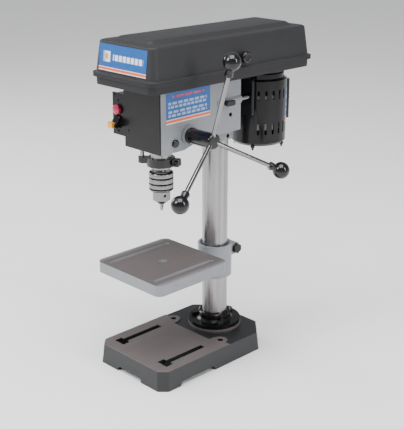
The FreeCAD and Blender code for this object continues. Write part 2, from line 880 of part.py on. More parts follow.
def switch_paddle():
    """A wedge that rocks about a pin behind the cover, thicker at its lower end."""
    z = head_floor_z + paddle_above_floor
    low = z - paddle_half_height
    high = z + paddle_half_height
    front = cover_front_y - paddle_proud
    back = cover_front_y + 8
    outline = [
        (back, low + 1.5), (back, high - 1.5), (cover_front_y - 2, high), (front, low + 5), (front, low),
    ]
    wedge = prism(outline, "yz", switch_x - paddle_half_width, switch_x + paddle_half_width)
    return cut(wedge, safety_key_shape(part_gap))


def safety_key_shape(grow):
    """The key's blade. Grown by a gap, it is the blade's slot in the paddle."""
    z = head_floor_z + paddle_above_floor - key_drop
    half = key_half_width + grow
    height = key_half_height * 0.5 + grow
    front = cover_front_y - paddle_proud - key_proud
    back = cover_front_y - key_stop + grow
    return box(switch_x - half, switch_x + half, front - grow, back, z - height, z + height)


def safety_key():
    z = head_floor_z + paddle_above_floor - key_drop
    front = cover_front_y - paddle_proud
    half = key_grip_half_width
    back = front - part_gap - 2
    low = z - key_half_height
    high = z + key_half_height
    grip = box(switch_x - half, switch_x + half, front - key_proud, back, low, high)
    return fused(safety_key_shape(0), grip)


# Feed

def pinion():
    """Straight teeth with flanks drawn as chords, in mesh with the rack at rest."""
    pitch_radius = rack_module * pinion_teeth / 2
    tip = pitch_radius + 0.9 * rack_module
    root = pitch_radius - 1.25 * rack_module
    tooth = (
        (root, -0.36), (pitch_radius, -0.215), (tip, -0.1), (tip, 0.1), (pitch_radius, 0.215), (root, 0.36),
    )
    points = []
    step = 360 / pinion_teeth
    for k in range(pinion_teeth):
        for radius, share in tooth:
            points.append(around(radius, 180 + (k + share) * step, feed_y, feed_z))
    return prism(points, "yz", -rack_width / 2, rack_width / 2)


def feed_shaft():
    half = rack_width / 2
    shoulder = feed_y - spindle_y - feed_journal_radius - part_gap
    start = math.sqrt(quill_radius ** 2 - shoulder ** 2) + part_gap
    journal = rod(feed_journal_radius, (start, feed_y, feed_z), (feed_hub_start_x - part_gap, feed_y, feed_z))
    core_end = feed_rod_cross_x - feed_rod_radius - feed_core_margin
    root = rack_module * (pinion_teeth / 2 - 1.25)
    neck = rod(root, (-half - 1, feed_y, feed_z), (start + 1, feed_y, feed_z))
    core = rod(feed_core_radius, (start, feed_y, feed_z), (core_end, feed_y, feed_z))
    tail_end = -feed_boss_face_x - spring_cap_depth - 2 * spring_nut_height - 4
    tail = rod(feed_tail_radius, (-head_front_half, feed_y, feed_z), (-half, feed_y, feed_z))
    stub = rod(feed_tail_radius - 1, (tail_end, feed_y, feed_z), (-half, feed_y, feed_z))
    return fused(pinion(), neck, journal, core, tail, stub)


def rod_direction(angle):
    lean = math.radians(feed_rod_lean)
    turn = math.radians(angle)
    return V(math.sin(lean), math.cos(lean) * math.cos(turn), math.cos(lean) * math.sin(turn))


def feed_rod(angle, start, end):
    centre = V(feed_rod_cross_x, feed_y, feed_z)
    along = rod_direction(angle)
    return Part.makeCylinder(feed_rod_radius, end - start, centre + along * start, along)


def feed_hub():
    length = feed_hub_end_x - feed_hub_start_x
    profile = [
        (0, 0), (feed_hub_radius, 0), (feed_hub_radius, length - 3), (feed_hub_radius - 3, length),
        (0, length),
    ]
    body = turned(profile, (feed_hub_start_x, feed_y, feed_z), (1, 0, 0))
    core_end = feed_rod_cross_x - feed_rod_radius - feed_core_margin
    tools = [rod(feed_core_radius, (feed_hub_start_x - 1, feed_y, feed_z), (core_end, feed_y, feed_z))]
    tools += [feed_rod(angle, feed_rod_root, 2 * feed_hub_radius) for angle in feed_rod_angles]
    return cut(body, *tools)


def knob_profile():
    """A ball on a tapered neck. Heights run from the neck's foot outwards."""
    points = [(0, 0), (knob_neck_radius - 1, 0), (knob_neck_radius, 2)]
    centre = knob_neck_length + knob_radius * 0.75
    start = math.asin(min(1.0, knob_neck_radius / knob_radius))
    for k in range(13):
        angle = start + (math.pi - start) * k / 12
        points.append((knob_radius * math.sin(angle), centre - knob_radius * math.cos(angle)))
    points[-1] = (0, centre + knob_radius)
    return points, centre


def feed_knobs():
    profile, centre = knob_profile()
    knobs = []
    for angle in feed_rod_angles:
        along = rod_direction(angle)
        foot = V(feed_rod_cross_x, feed_y, feed_z) + along * (feed_rod_length - centre)
        knob = turned(profile, tuple(foot), tuple(along))
        knobs.append(cut(knob, feed_rod(angle, feed_rod_root, feed_rod_length)))
    return knobs


def feed_rods():
    return [feed_rod(angle, feed_rod_root, feed_rod_length) for angle in feed_rod_angles]


def spring_cap():
    """A cup on the left of the head. Its closed end is outwards."""
    inner_x = spring_cap_foot_x
    outer_x = inner_x - spring_cap_depth
    wall = spring_cap_wall
    cup = rod(spring_cap_radius, (outer_x, feed_y, feed_z), (inner_x, feed_y, feed_z))
    room = rod(spring_cap_radius - wall, (outer_x + wall, feed_y, feed_z), (inner_x + 1, feed_y, feed_z))
    bore = rod(feed_tail_radius - 1 + part_gap, (outer_x - 1, feed_y, feed_z), (inner_x, feed_y, feed_z))
    return cut(cup, room, bore)


def return_spring():
    """A flat strip wound as a spiral of half circles, from the cap's wall inwards."""
    low_x = spring_cap_foot_x - spring_cap_depth + spring_cap_wall + 2
    high_x = low_x + spring_cap_depth - spring_cap_wall - 6
    outer = spring_cap_radius - spring_cap_wall
    centre_y = feed_y
    radius = outer
    solids = []
    for k in range(2 * spring_turns):
        strip = rod(radius, (low_x, centre_y, feed_z), (high_x, centre_y, feed_z))
        inside = radius - spring_strip
        room = rod(inside, (low_x - 1, centre_y, feed_z), (high_x + 1, centre_y, feed_z))
        low = feed_z if k % 2 == 0 else feed_z - 2 * outer
        half = box(low_x - 1, high_x + 1, feed_y - 2 * outer, feed_y + 2 * outer, low, low + 2 * outer)
        solids.append(cut(strip, room).common(half))
        direction = 1 if k % 2 == 0 else -1
        centre_y += direction * spring_pitch / 4
        radius -= spring_pitch / 4
    return fused(*solids)


def spring_nuts():
    start = spring_cap_foot_x - spring_cap_depth - part_gap
    nuts = []
    for k in range(2):
        near = start - k * (spring_nut_height + nut_gap)
        far = near - spring_nut_height
        nut = hexagon(spring_nut_flats, (far, feed_y, feed_z), (near, feed_y, feed_z))
        bore = rod(feed_tail_radius - 1, (far - 1, feed_y, feed_z), (near + 1, feed_y, feed_z))
        nuts.append(cut(nut, bore))
    return nuts


# Quill, spindle and depth stop

def rack_cutters():
    """Gaps between the rack's teeth, with one gap centred on the pinion's level."""
    pitch = math.pi * rack_module
    flat = rack_pitch_from_axis + rack_module
    floor = rack_pitch_from_axis - 1.25 * rack_module
    slope = math.tan(math.radians(20))
    mouth = pitch / 4 + rack_module * slope + 0.05
    root = pitch / 4 - 1.25 * rack_module * slope + 0.05
    cutters = []
    for k in range(rack_teeth):
        z = feed_z + (k - 1) * pitch
        outline = [
            (spindle_y + floor, z - root), (spindle_y + flat, z - mouth),
            (spindle_y + flat, z + mouth), (spindle_y + floor, z + root),
        ]
        cutters.append(prism(outline, "yz", -rack_width, rack_width))
    return cutters


def quill():
    body = post(quill_radius, 0, spindle_y, quill_low_z, quill_top_z)
    core = post(quill_core_radius, 0, spindle_y, quill_low_z - 1, quill_top_z + 1)
    low_seat_z = quill_low_z + spindle_bearing_height
    low_seat = post(spindle_bearing_radius, 0, spindle_y, quill_low_z - 1, low_seat_z)
    high_seat_z = quill_top_z - spindle_bearing_height
    high_seat = post(spindle_bearing_radius, 0, spindle_y, high_seat_z, quill_top_z + 1)
    flat = rack_pitch_from_axis + rack_module
    pitch = math.pi * rack_module
    low = feed_z - 2 * pitch
    high = low + (rack_teeth + 1) * pitch
    shave = box(-quill_radius, quill_radius, spindle_y + flat, spindle_y + 2 * quill_radius, low, high)
    side_x = quill_side_x()
    groove_y = spindle_y - guide_screw_forward
    half = guide_groove_width / 2
    groove_top = quill_top_z - guide_groove_margin
    groove = box(
        side_x - guide_groove_depth, side_x + 5, groove_y - half, groove_y + half,
        head_floor_z + 4, groove_top,
    )
    return cut(body, core, low_seat, high_seat, shave, groove, *rack_cutters())


def bearing_ring(outer, inner, z0, z1, y):
    """A ball bearing as one ring with a groove in each face between its two races."""
    ring = tube(outer, inner, 0, y, z0, z1)
    third = (outer - inner) / 3
    for low, high in ((z0 - 1, z0 + 0.8), (z1 - 0.8, z1 + 1)):
        ring = cut(ring, tube(outer - third, inner + third, 0, y, low, high))
    return ring


def quill_bearings():
    inner = spindle_radius + running_fit
    rings = []
    for low in (quill_low_z, quill_top_z - spindle_bearing_height):
        high = low + spindle_bearing_height
        rings.append(bearing_ring(spindle_bearing_radius, inner, low, high, spindle_y))
    return rings


def spline_shape(grow, z0, z1):
    """The spindle's drive end: a core with straight keys."""
    core = post(spindle_radius + grow, 0, spindle_y, z0, z1)
    for k in range(spline_count // 2):
        half = spline_width / 2 + grow
        reach = spline_radius + grow
        key = box(-reach, reach, -half, half, z0, z1)
        key.rotate(V(0, 0, 0), V(0, 0, 1), 360 / spline_count * k)
        key.translate(V(0, spindle_y, 0))
        core = core.fuse(key)
    return core.removeSplitter()


def spindle():
    top = pulley_top_z + spindle_top_above_pulley
    spline_low = quill_top_z + 2
    shaft = post(spindle_radius, 0, spindle_y, chuck_top_z - 1, top)
    nose = post(nose_radius, 0, spindle_y, chuck_top_z - nose_length, chuck_top_z + 3)
    return fused(shaft, nose, spline_shape(0, spline_low, top))


def stop_rod_place():
    return around(stop_rod_reach, stop_turn, 0, spindle_y)


def turned_to_stop(shape):
    """A shape drawn about the origin with the stop rod's arm along +X, set round the quill."""
    shape.rotate(V(0, 0, 0), V(0, 0, 1), stop_turn)
    shape.translate(V(0, spindle_y, 0))
    return shape


def depth_collar():
    low = quill_low_z + stop_collar_lift
    high = low + stop_collar_height
    ring = post(stop_collar_radius, 0, spindle_y, low, high)
    half = stop_arm_half_width
    arm = box(0, stop_rod_reach, -half, half, low + 2, high - 2)
    ears = box(-stop_ear_reach, 0, -half, half, low + 1, high - 1)
    slit = box(-stop_ear_reach - 1, 0, -stop_slit / 2, stop_slit / 2, low - 1, high + 1)
    arm, ears, slit = [turned_to_stop(piece) for piece in (arm, ears, slit)]
    x, y = stop_rod_place()
    body = fused(ring, arm, ears, post(half, x, y, low + 2, high - 2))
    bore = post(quill_radius, 0, spindle_y, low - 1, high + 1)
    rod_hole = post(stop_rod_radius, x, y, low - 1, high + 1)
    return cut(body, bore, slit, rod_hole, stop_screw_path())


def stop_screw_place():
    z = quill_low_z + stop_collar_lift + stop_collar_height / 2
    return -(stop_collar_radius + stop_ear_reach) / 2, z


def stop_screw_path():
    """The screw's shank, across the collar's two ears."""
    x, z = stop_screw_place()
    half = stop_arm_half_width
    return turned_to_stop(rod(stop_screw_radius, (x, -half, z), (x, half, z)))


def collar_screw():
    x, z = stop_screw_place()
    half = stop_arm_half_width
    head = rod(stop_screw_head, (x, half, z), (x, half + 4, z))
    head = cut(head, hexagon(4, (x, half + 1.5, z), (x, half + 5, z)))
    return fused(stop_screw_path(), turned_to_stop(head))


def stop_nut_z():
    """The lower nut meets the head's floor when the quill is fully down."""
    return head_floor_z + head_floor + quill_travel + part_gap


def depth_rod():
    x, y = stop_rod_place()
    low = quill_low_z + stop_collar_lift
    return post(stop_rod_radius, x, y, low, stop_nut_z() + 2 * stop_nut_height + stop_rod_overrun)


def depth_nuts():
    x, y = stop_rod_place()
    nuts = []
    for k in range(2):
        low = stop_nut_z() + k * (stop_nut_height + nut_gap)
        nut = hexagon(stop_nut_flats, (x, y, low), (x, y, low + stop_nut_height))
        nuts.append(cut(nut, post(stop_rod_radius, x, y, low - 1, low + stop_nut_height + 1)))
    return nuts


# Chuck

def jaw_line(k):
    """A point on a jaw's axis at the tips' level, and the direction up and outwards."""
    turn = math.radians(chuck_turn + 360 * k / jaw_count)
    lean = math.radians(jaw_lean)
    foot = V(jaw_offset * math.cos(turn), spindle_y + jaw_offset * math.sin(turn), jaw_tip_z)
    return foot, V(math.sin(lean) * math.cos(turn), math.sin(lean) * math.sin(turn), math.cos(lean))


def chuck_jaw(k):
    """A leaning pin, cut to its third of the circle and to the cone that the closed jaws form."""
    foot, along = jaw_line(k)
    pin = Part.makeCylinder(jaw_radius, jaw_length + 4, foot - along * 4, along)
    height = 2 * jaw_length
    wide = jaw_length
    cone = [
        (0, 0), (jaw_tip_radius, 0), (jaw_cone_radius, jaw_overhang),
        (wide, jaw_overhang + 2), (wide, height), (0, height),
    ]
    envelope = turned(cone, (0, spindle_y, jaw_tip_z))
    reach = 6 * jaw_radius
    apex = jaw_split / 2 / math.sin(math.pi / jaw_count)
    side = math.tan(math.pi / jaw_count) * reach
    wedge = [(apex, 0), (apex + reach, -side), (apex + reach, side)]
    sector = prism(wedge, "xy", jaw_tip_z - 1, jaw_tip_z + height)
    sector.rotate(V(0, 0, 0), V(0, 0, 1), chuck_turn + 360 * k / jaw_count)
    sector.translate(V(0, spindle_y, 0))
    return pin.common(envelope).common(sector)


def chuck_body():
    top = chuck_top_z - chuck_low_z
    sleeve_top = chuck_sleeve_top_z - chuck_low_z
    cap = chuck_cap_radius
    cap_foot = sleeve_top - chuck_cap_height + 2
    profile = [
        (0, 0), (chuck_nose_mouth, 0), (chuck_nose_radius, chuck_nose_taper), (chuck_nose_radius, cap_foot),
        (cap, cap_foot), (cap, top - 1), (cap - 1, top), (0, top),
    ]
    body = turned(profile, (0, spindle_y, chuck_low_z))
    tools = [
        post(chuck_throat_radius, 0, spindle_y, chuck_low_z - 1, chuck_low_z + chuck_nose_height),
        post(nose_radius, 0, spindle_y, chuck_top_z - nose_length, chuck_top_z + 1),
    ]
    for k in range(jaw_count):
        foot, along = jaw_line(k)
        tools.append(Part.makeCylinder(jaw_radius + part_gap, jaw_length + 24, foot, along))
        between = chuck_turn + 360 * (k + 0.5) / jaw_count
        x, y = around(chuck_nose_radius + 1, between, 0, spindle_y)
        z = chuck_low_z + key_hole_height
        tools.append(rod(key_hole_radius, (x * 0.55, spindle_y + (y - spindle_y) * 0.55, z), (x, y, z)))
    return cut(body, *tools)


def chuck_sleeve():
    low = part_gap
    top = chuck_sleeve_height
    outer = chuck_sleeve_radius
    inner = chuck_sleeve_bore
    mouth = chuck_sleeve_mouth
    cap = chuck_cap_radius + part_gap
    deep = outer - chuck_groove_depth
    profile = [(mouth, low), (outer - 2, low), (outer, low + 2)]
    for middle in chuck_groove_heights:
        profile += [(outer, middle - 1.5), (deep, middle - 0.7), (deep, middle + 0.7), (outer, middle + 1.5)]
    profile += [
        (outer, top - 1.5), (outer - 1.5, top), (cap, top), (cap, 20), (inner, 18), (inner, low + 5),
        (mouth, low + 3),
    ]
    return turned(profile, (0, spindle_y, chuck_sleeve_low_z))


# Pulleys, sleeve and belt

def stepped_pulley(steps, y, bore):
    """Five V-grooved steps, the first one lowest."""
    profile = [(bore, 0)]
    land = (pulley_pitch - groove_mouth) / 2
    inset = (groove_mouth - groove_floor) / 2
    for k, radius in enumerate(steps):
        low = k * pulley_pitch
        high = low + pulley_pitch
        floor = radius - groove_depth
        profile += [
            (radius, low), (radius, low + land), (floor, low + land + inset), (floor, high - land - inset),
            (radius, high - land), (radius, high),
        ]
    profile.append((bore, pulley_pitch * len(steps)))
    return turned(profile, (0, y, pulley_low_z))


def spindle_pulley():
    return stepped_pulley(pulley_steps, spindle_y, sleeve_radius)


def motor_pulley():
    return stepped_pulley(tuple(reversed(pulley_steps)), motor_y, motor_shaft_radius)


def pulley_sleeve():
    body = post(sleeve_radius, 0, spindle_y, sleeve_bearing_low_z, pulley_top_z)
    return cut(body, spline_shape(spline_slack, sleeve_bearing_low_z - 1, pulley_top_z + 1))


def top_bearings():
    rings = []
    for k in range(2):
        low = sleeve_bearing_low_z + k * sleeve_bearing_height
        high = low + sleeve_bearing_height
        rings.append(bearing_ring(sleeve_bearing_radius, sleeve_radius + running_fit, low, high, spindle_y))
    return rings


def drive_belt():
    """A V-belt round the middle steps: two half turns and two straight runs."""
    radius = pulley_steps[belt_step]
    other = pulley_steps[len(pulley_steps) - 1 - belt_step]
    middle = pulley_low_z + (belt_step + 0.5) * pulley_pitch
    outer = groove_mouth / 2 - belt_clearance
    inner = outer - belt_flank
    depth = groove_depth - belt_floor_gap

    def section(size):
        corners = [(size, -outer), (size, outer), (size - depth, inner), (size - depth, -inner)]
        return [V(x, 0, middle + z) for x, z in corners]

    pieces = []
    for size, y, turn in ((radius, spindle_y, -180), (other, motor_y, 180)):
        corners = section(size)
        face = Part.Face(Part.makePolygon(corners + corners[:1]))
        face.translate(V(0, y, 0))
        pieces.append(face.revolve(V(0, y, 0), V(0, 0, 1), turn))
    for side in (-1, 1):
        near = [V(side * p.x, spindle_y, p.z) for p in section(radius)]
        far = [V(side * p.x, motor_y, p.z) for p in section(other)]
        wires = [Part.makePolygon(points + points[:1]) for points in (near, far)]
        pieces.append(Part.makeLoft(wires, True, True))
    return fused(*pieces)


# Pulley guard

def guard_outline(inset):
    return rectangle(guard_half_width - inset, guard_front_y + inset, guard_back_y - inset)


def guard_frustum(inset_low, z_low, inset_high, z_high, trim=0.0):
    """A drafted block of the guard's plan, trimmed inwards by a wall where it is a hollow."""
    corner = guard_corner_radius
    return drafted(
        guard_outline(inset_low + trim), z_low, guard_outline(inset_high + trim), z_high,
        corner - inset_low / 2 - trim / 2, corner - inset_high / 2 - trim / 2,
    )


def tray_screw_places():
    x = head_rear_half - 12
    return [(-x, spindle_y + 34), (x, spindle_y + 34), (0, head_front_y + 8)]


def knuckle(y, low, high):
    x = -guard_half_width - hinge_reach
    return rod(hinge_knuckle_radius, (x, y + low, parting_z), (x, y + high, parting_z))


def hinge_leaf(y, low, high, z0, z1):
    """A strap from a knuckle's axis to the guard's rim."""
    x = -guard_half_width - hinge_reach
    return box(x, -guard_half_width + 1, y + low, y + high, z0, z1)


def hinge_spans(lid):
    """Where a hinge's knuckles lie along its pin: the lid has the middle one."""
    third = hinge_length / 6
    if lid:
        return [(-third, third)]
    return [(-3 * third, -third - part_gap), (third + part_gap, 3 * third)]


def cover_tray():
    rim_low = parting_z - rim_thickness
    wall_inset = rim_proud
    outer = guard_frustum(tray_inset, tray_z, wall_inset, parting_z)
    inner = guard_frustum(tray_inset, tray_z + guard_wall, wall_inset, parting_z + 1, guard_wall)
    rim = prism(guard_outline(0), "xy", rim_low, parting_z, guard_corner_radius)
    body = cut(fused(outer, rim), inner)
    tools = [post(sleeve_radius + 3, 0, spindle_y, tray_z - 1, tray_z + guard_wall + 1)]
    shaft_slot = motor_shaft_radius + 6
    front = motor_y - motor_travel
    tools.append(box(-shaft_slot, shaft_slot, front, motor_y, tray_z - 1, tray_z + guard_wall + 1))
    for y in (front, motor_y):
        tools.append(post(shaft_slot, 0, y, tray_z - 1, tray_z + guard_wall + 1))
    for x, y in tray_screw_places():
        tools.append(post(tray_screw_radius, x, y, tray_z - 1, tray_z + guard_wall + 1))
    axis_x = -guard_half_width - hinge_reach
    for y in hinge_places:
        for low, high in hinge_spans(False):
            leaf = hinge_leaf(y, low, high, rim_low, parting_z)
            body = fused(body, knuckle(y, low, high), leaf)
        low, high = hinge_spans(True)[0]
        room = hinge_knuckle_radius + part_gap
        low_y = y + low - part_gap
        high_y = y + high + part_gap
        tools.append(rod(room, (axis_x, low_y, parting_z), (axis_x, high_y, parting_z)))
        tools.append(hinge_pin_at(y))
    return cut(body, *tools)


def hinge_pin_at(y):
    x = -guard_half_width - hinge_reach
    half = hinge_length / 2
    return rod(hinge_pin_radius, (x, y - half, parting_z), (x, y + half, parting_z))


def hinge_pins():
    return [hinge_pin_at(y) for y in hinge_places]


def tray_screws():
    screws = []
    for x, y in tray_screw_places():
        z = tray_z + guard_wall
        wide = 1.9 * tray_screw_radius
        profile = [(0, 0), (wide, 0), (0.75 * wide, 2.2), (0, 2.2)]
        shank = post(tray_screw_radius, x, y, head_top_z - head_top_plate + 1, z + 1)
        screws.append(fused(turned(profile, (x, y, z)), shank))
    return screws


def lid_crown(trim):
    """The raised panel on the lid. A trim gives the hollow under it."""
    half = panel_half_width - trim
    front = guard_front_y + panel_margin + trim
    back = guard_back_y - panel_margin - trim
    edge = rectangle(half, front, back)
    top = rectangle(half - panel_bevel, front + panel_bevel, back - panel_bevel)
    corner = guard_corner_radius / 2
    return drafted(edge, lid_top_z - trim - 1, top, panel_z - trim, corner, corner / 2)


def pulley_lid():
    low = parting_z + part_gap
    shoulder_z = lid_top_z - shoulder_steps[0][1]
    outer = [guard_frustum(rim_proud, low, lid_inset, shoulder_z)]
    for (inset, drop), (next_inset, next_drop) in zip(shoulder_steps, shoulder_steps[1:]):
        step_low = lid_top_z - drop
        step_high = lid_top_z - next_drop
        outer.append(guard_frustum(lid_inset + inset, step_low, lid_inset + next_inset, step_high))
    inner = guard_frustum(rim_proud, low - 1, lid_inset, lid_top_z - guard_wall, guard_wall)
    rim = prism(guard_outline(0), "xy", low, low + rim_thickness, guard_corner_radius)
    body = cut(fused(*outer, rim, lid_crown(0)), inner, lid_crown(guard_wall))
    axis_x = -guard_half_width - hinge_reach
    room = hinge_knuckle_radius + part_gap
    for y in hinge_places:
        for start, end in hinge_spans(True):
            leaf = hinge_leaf(y, start, end, low, low + rim_thickness)
            body = fused(body, knuckle(y, start, end), leaf)
        for start, end in hinge_spans(False):
            near = y + start - part_gap
            far = y + end + part_gap
            body = cut(body, rod(room, (axis_x, near, parting_z), (axis_x, far, parting_z)))
        near = y - hinge_length / 2
        far = y + hinge_length / 2
        bore = hinge_pin_radius + running_fit
        body = cut(body, rod(bore, (axis_x, near, parting_z), (axis_x, far, parting_z)))
    z = parting_z + lid_knob_rise
    wall_x = guard_half_width - lid_inset - guard_wall
    return cut(body, rod(lid_knob_stem, (wall_x - 1, lid_knob_y, z), (guard_half_width + 1, lid_knob_y, z)))


def lid_wall_x(z):
    """The lid's outer face on the right at this level."""
    low = parting_z + part_gap
    share = (z - low) / (lid_top_z - shoulder_steps[0][1] - low)
    return guard_half_width - rim_proud - share * (lid_inset - rim_proud)


def lid_knob():
    z = parting_z + lid_knob_rise
    face = lid_wall_x(z)
    radius = lid_knob_radius
    near = lid_knob_reach - lid_knob_thickness
    thick = lid_knob_thickness
    stem = rod(lid_knob_stem, (face - guard_wall - 1, lid_knob_y, z), (near + 1, lid_knob_y, z))
    collar = rod(lid_knob_stem + 2, (face + 1, lid_knob_y, z), (near + 1, lid_knob_y, z))
    profile = [(0, 0), (radius - 2.5, 0), (radius, 3), (radius, thick - 2.5), (radius - 2, thick), (0, thick)]
    return fused(stem, collar, turned(profile, (near, lid_knob_y, z), (1, 0, 0)))


# Motor

def motor_z(height):
    return head_floor_z + height


def motor_can():
    low = motor_z(motor_can_low)
    high = motor_z(motor_can_high)
    can = tube(motor_radius, motor_radius - motor_can_wall, 0, motor_y, low, high)
    slots = []
    for row_low, row_high in vent_rows:
        for side in (0, 180):
            for k in range(vents_per_side):
                angle = side + (k - (vents_per_side - 1) / 2) * vent_step
                reach = motor_radius + 2
                half = vent_width / 2
                slot_low = low + row_low
                slot = box(motor_radius - 8, reach, -half, half, slot_low, low + row_high)
                slot.rotate(V(0, 0, 0), V(0, 0, 1), angle)
                slot.translate(V(0, motor_y, 0))
                slots.append(slot)
    return cut(can, *slots)


def motor_lower_bell():
    height = lower_bell_height
    low = motor_z(motor_can_low) - height
    wall = bell_wall
    edge = motor_radius
    hub = motor_bearing_radius + 4
    seat = motor_bearing_height
    mouth = motor_shaft_radius + 1
    bearing = motor_bearing_radius
    profile = [
        (mouth, 0), (edge - 5, 0), (edge, 5), (edge, height), (edge - wall, height), (edge - wall, wall + 2),
        (hub, wall + 2), (hub, wall + seat), (bearing, wall + seat), (bearing, wall), (mouth, wall),
    ]
    return cut(turned(profile, (0, motor_y, low)), *through_bolt_holes())


def motor_upper_bell():
    low = motor_z(motor_can_high)
    height = upper_bell_height
    wall = bell_wall
    edge = motor_radius
    top_edge = edge - 5
    hub = motor_bearing_radius + 4
    seat = motor_bearing_height
    mouth = motor_shaft_radius + 1
    bearing = motor_bearing_radius
    ceiling = height - wall
    profile = [
        (edge - wall, 0), (edge, 0), (edge, 5), (top_edge, 8), (top_edge, height - 2), (top_edge - 3, height),
        (mouth, height), (mouth, ceiling), (bearing, ceiling), (bearing, ceiling - seat),
        (hub, ceiling - seat), (hub, ceiling), (top_edge - wall, ceiling), (top_edge - wall, 8),
        (edge - wall, 4),
    ]
    return cut(turned(profile, (0, motor_y, low)), *through_bolt_holes())


def through_bolt_span():
    low = motor_z(motor_can_low) - lower_bell_height - 8
    return low, motor_z(motor_can_high) + 10


def through_bolt_holes():
    low, high = through_bolt_span()
    holes = []
    for angle in through_bolt_angles:
        x, y = around(through_bolt_circle, angle, 0, motor_y)
        holes.append(post(through_bolt_radius, x, y, low, high))
    return holes


def motor_through_bolts():
    low, high = through_bolt_span()
    bolts = []
    for angle in through_bolt_angles:
        x, y = around(through_bolt_circle, angle, 0, motor_y)
        nut_top = motor_z(motor_can_low) - lower_bell_height
        nut = hexagon(through_bolt_flats, (x, y, nut_top - through_bolt_nut), (x, y, nut_top))
        bolts.append(fused(post(through_bolt_radius, x, y, low, high), nut))
    return bolts


def motor_stator():
    low = motor_z(motor_can_low) + stator_low
    high = motor_z(motor_can_low) + stator_high
    ring = tube(motor_radius - motor_can_wall, stator_bore, 0, motor_y, low, high)
    notches = []
    for angle in through_bolt_angles:
        x, y = around(through_bolt_circle, angle, 0, motor_y)
        notches.append(post(through_bolt_radius + bolt_slack, x, y, low - 1, high + 1))
    return cut(ring, *notches)


def motor_rotor():
    low = motor_z(motor_can_low) + stator_low + 1
    high = motor_z(motor_can_low) + stator_high - 1
    return tube(stator_bore - rotor_gap, motor_shaft_radius, 0, motor_y, low, high)


def motor_shaft():
    low = motor_z(motor_can_low) - lower_bell_height + bell_wall - motor_shaft_foot
    return post(motor_shaft_radius, 0, motor_y, low, pulley_top_z + 2)


def motor_bearings():
    inner = motor_shaft_radius + running_fit
    low = motor_z(motor_can_low) - lower_bell_height + bell_wall
    high = motor_z(motor_can_high) + upper_bell_height - bell_wall
    lower = bearing_ring(motor_bearing_radius, inner, low, low + motor_bearing_height, motor_y)
    return [lower, bearing_ring(motor_bearing_radius, inner, high - motor_bearing_height, high, motor_y)]


def capacitor_cover():
    """A rounded box on the back of the can, closed against it."""
    low = motor_z(motor_can_low) + capacitor_low
    high = motor_z(motor_can_low) + capacitor_high
    back = motor_y + motor_radius + capacitor_depth
    front = motor_y + 0.7 * motor_radius
    outline = rectangle(capacitor_half_width, front, back)
    shell = prism(outline, "xy", low, high, 5)
    inner = rectangle(capacitor_half_width - 2, front + 1, back - 2)
    room = prism(inner, "xy", low + 2, high - 2, 3)
    return cut(shell, room, post(motor_radius, 0, motor_y, low - 1, high + 1))


def motor_mount():
    front = mount_plate_y
    low = motor_z(mount_low)
    high = motor_z(mount_high)
    back = front + mount_plate
    plate = prism(rectangle(mount_half_width, low, high), "xz", front, back, 6)
    saddle_back = motor_y - 0.6 * motor_radius
    saddle = box(-saddle_half_width, saddle_half_width, back - 1, saddle_back, low + 6, high - 16)
    body = cut(fused(plate, saddle), post(motor_radius, 0, motor_y, low - 1, high + 1))
    tools = []
    for side in (-1, 1):
        x = side * slide_bar_x
        tools.append(rod(slide_bar_radius, (x, front - 1, slide_bar_z), (x, back + 1, slide_bar_z)))
    return cut(body, *tools)


def slide_bars():
    front = head_rear_y - slide_bar_entry + motor_travel + 2
    rear = mount_plate_y + mount_plate
    bars = []
    for side in (-1, 1):
        x = side * slide_bar_x
        bars.append(rod(slide_bar_radius, (x, front, slide_bar_z), (x, rear, slide_bar_z)))
    return bars


def tension_knob(side):
    """A winged thumb screw that pinches a slide bar from the side."""
    z = slide_bar_z
    y = tension_knob_y
    face = max(head_half_at(y), slide_bar_x + slide_bar_boss_radius)
    tip = slide_bar_x + slide_bar_radius + running_fit
    near = face + part_gap + 1
    far = near + tension_knob_thickness
    screw = rod(tension_knob_screw_radius, (side * tip, y, z), (side * (near + 1), y, z))
    length = tension_knob_half_length
    height = tension_knob_half_height
    y0, y1 = y - length, y + length
    z0, z1 = z - height, z + height
    low, high = sorted((side * near, side * far))
    outline = [(y0, z0), (y1, z0), (y1, z1), (y0, z1)]
    return fused(screw, prism(outline, "yz", low, high, 0.9 * height))


def tension_knob_right():
    return tension_knob(1)


def tension_knob_left():
    return tension_knob(-1)


def save(name, shapes):
    """Write one node: a single solid, or a list of like solids as a group."""
    if isinstance(shapes, list):
        solids = [solid for shape in shapes for solid in shape.Solids]
    else:
        solids = shapes.Solids
    for solid in solids:
        if not solid.isValid():
            raise ValueError(name + " holds a solid that is not valid")
    whole = solids[0] if len(solids) == 1 else Part.makeCompound(solids)
    whole.exportStep("parts/" + name + ".step")
    print(name, len(solids), round(whole.Volume))


nodes = [
    base, column_flange, flange_bolts, column,
    table_bracket, clamp_bolt, clamp_lever, tilt_bolt, work_table,
    head_casting, head_set_screws, quill_guide_screw, front_cover, cover_screws, switch_box,
    stop_button, switch_paddle, safety_key,
    feed_shaft, feed_hub, feed_rods, feed_knobs, spring_cap, return_spring, spring_nuts,
    quill, quill_bearings, spindle, depth_collar, collar_screw, depth_rod, depth_nuts,
    chuck_body, chuck_sleeve,
    spindle_pulley, pulley_sleeve, top_bearings, motor_pulley, drive_belt,
    cover_tray, tray_screws, hinge_pins, pulley_lid, lid_knob,
    motor_can, motor_lower_bell, motor_upper_bell, motor_stator, motor_rotor, motor_shaft,
    motor_bearings, motor_through_bolts, capacitor_cover, motor_mount, slide_bars,
    tension_knob_right, tension_knob_left,
]

os.makedirs("parts", exist_ok=True)
for make in nodes:
    save(make.__name__, make())
for k in range(jaw_count):
    save("chuck_jaw_" + str(k + 1), chuck_jaw(k))
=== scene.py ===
"""The visual model of a bench drill press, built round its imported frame."""

import json
import math

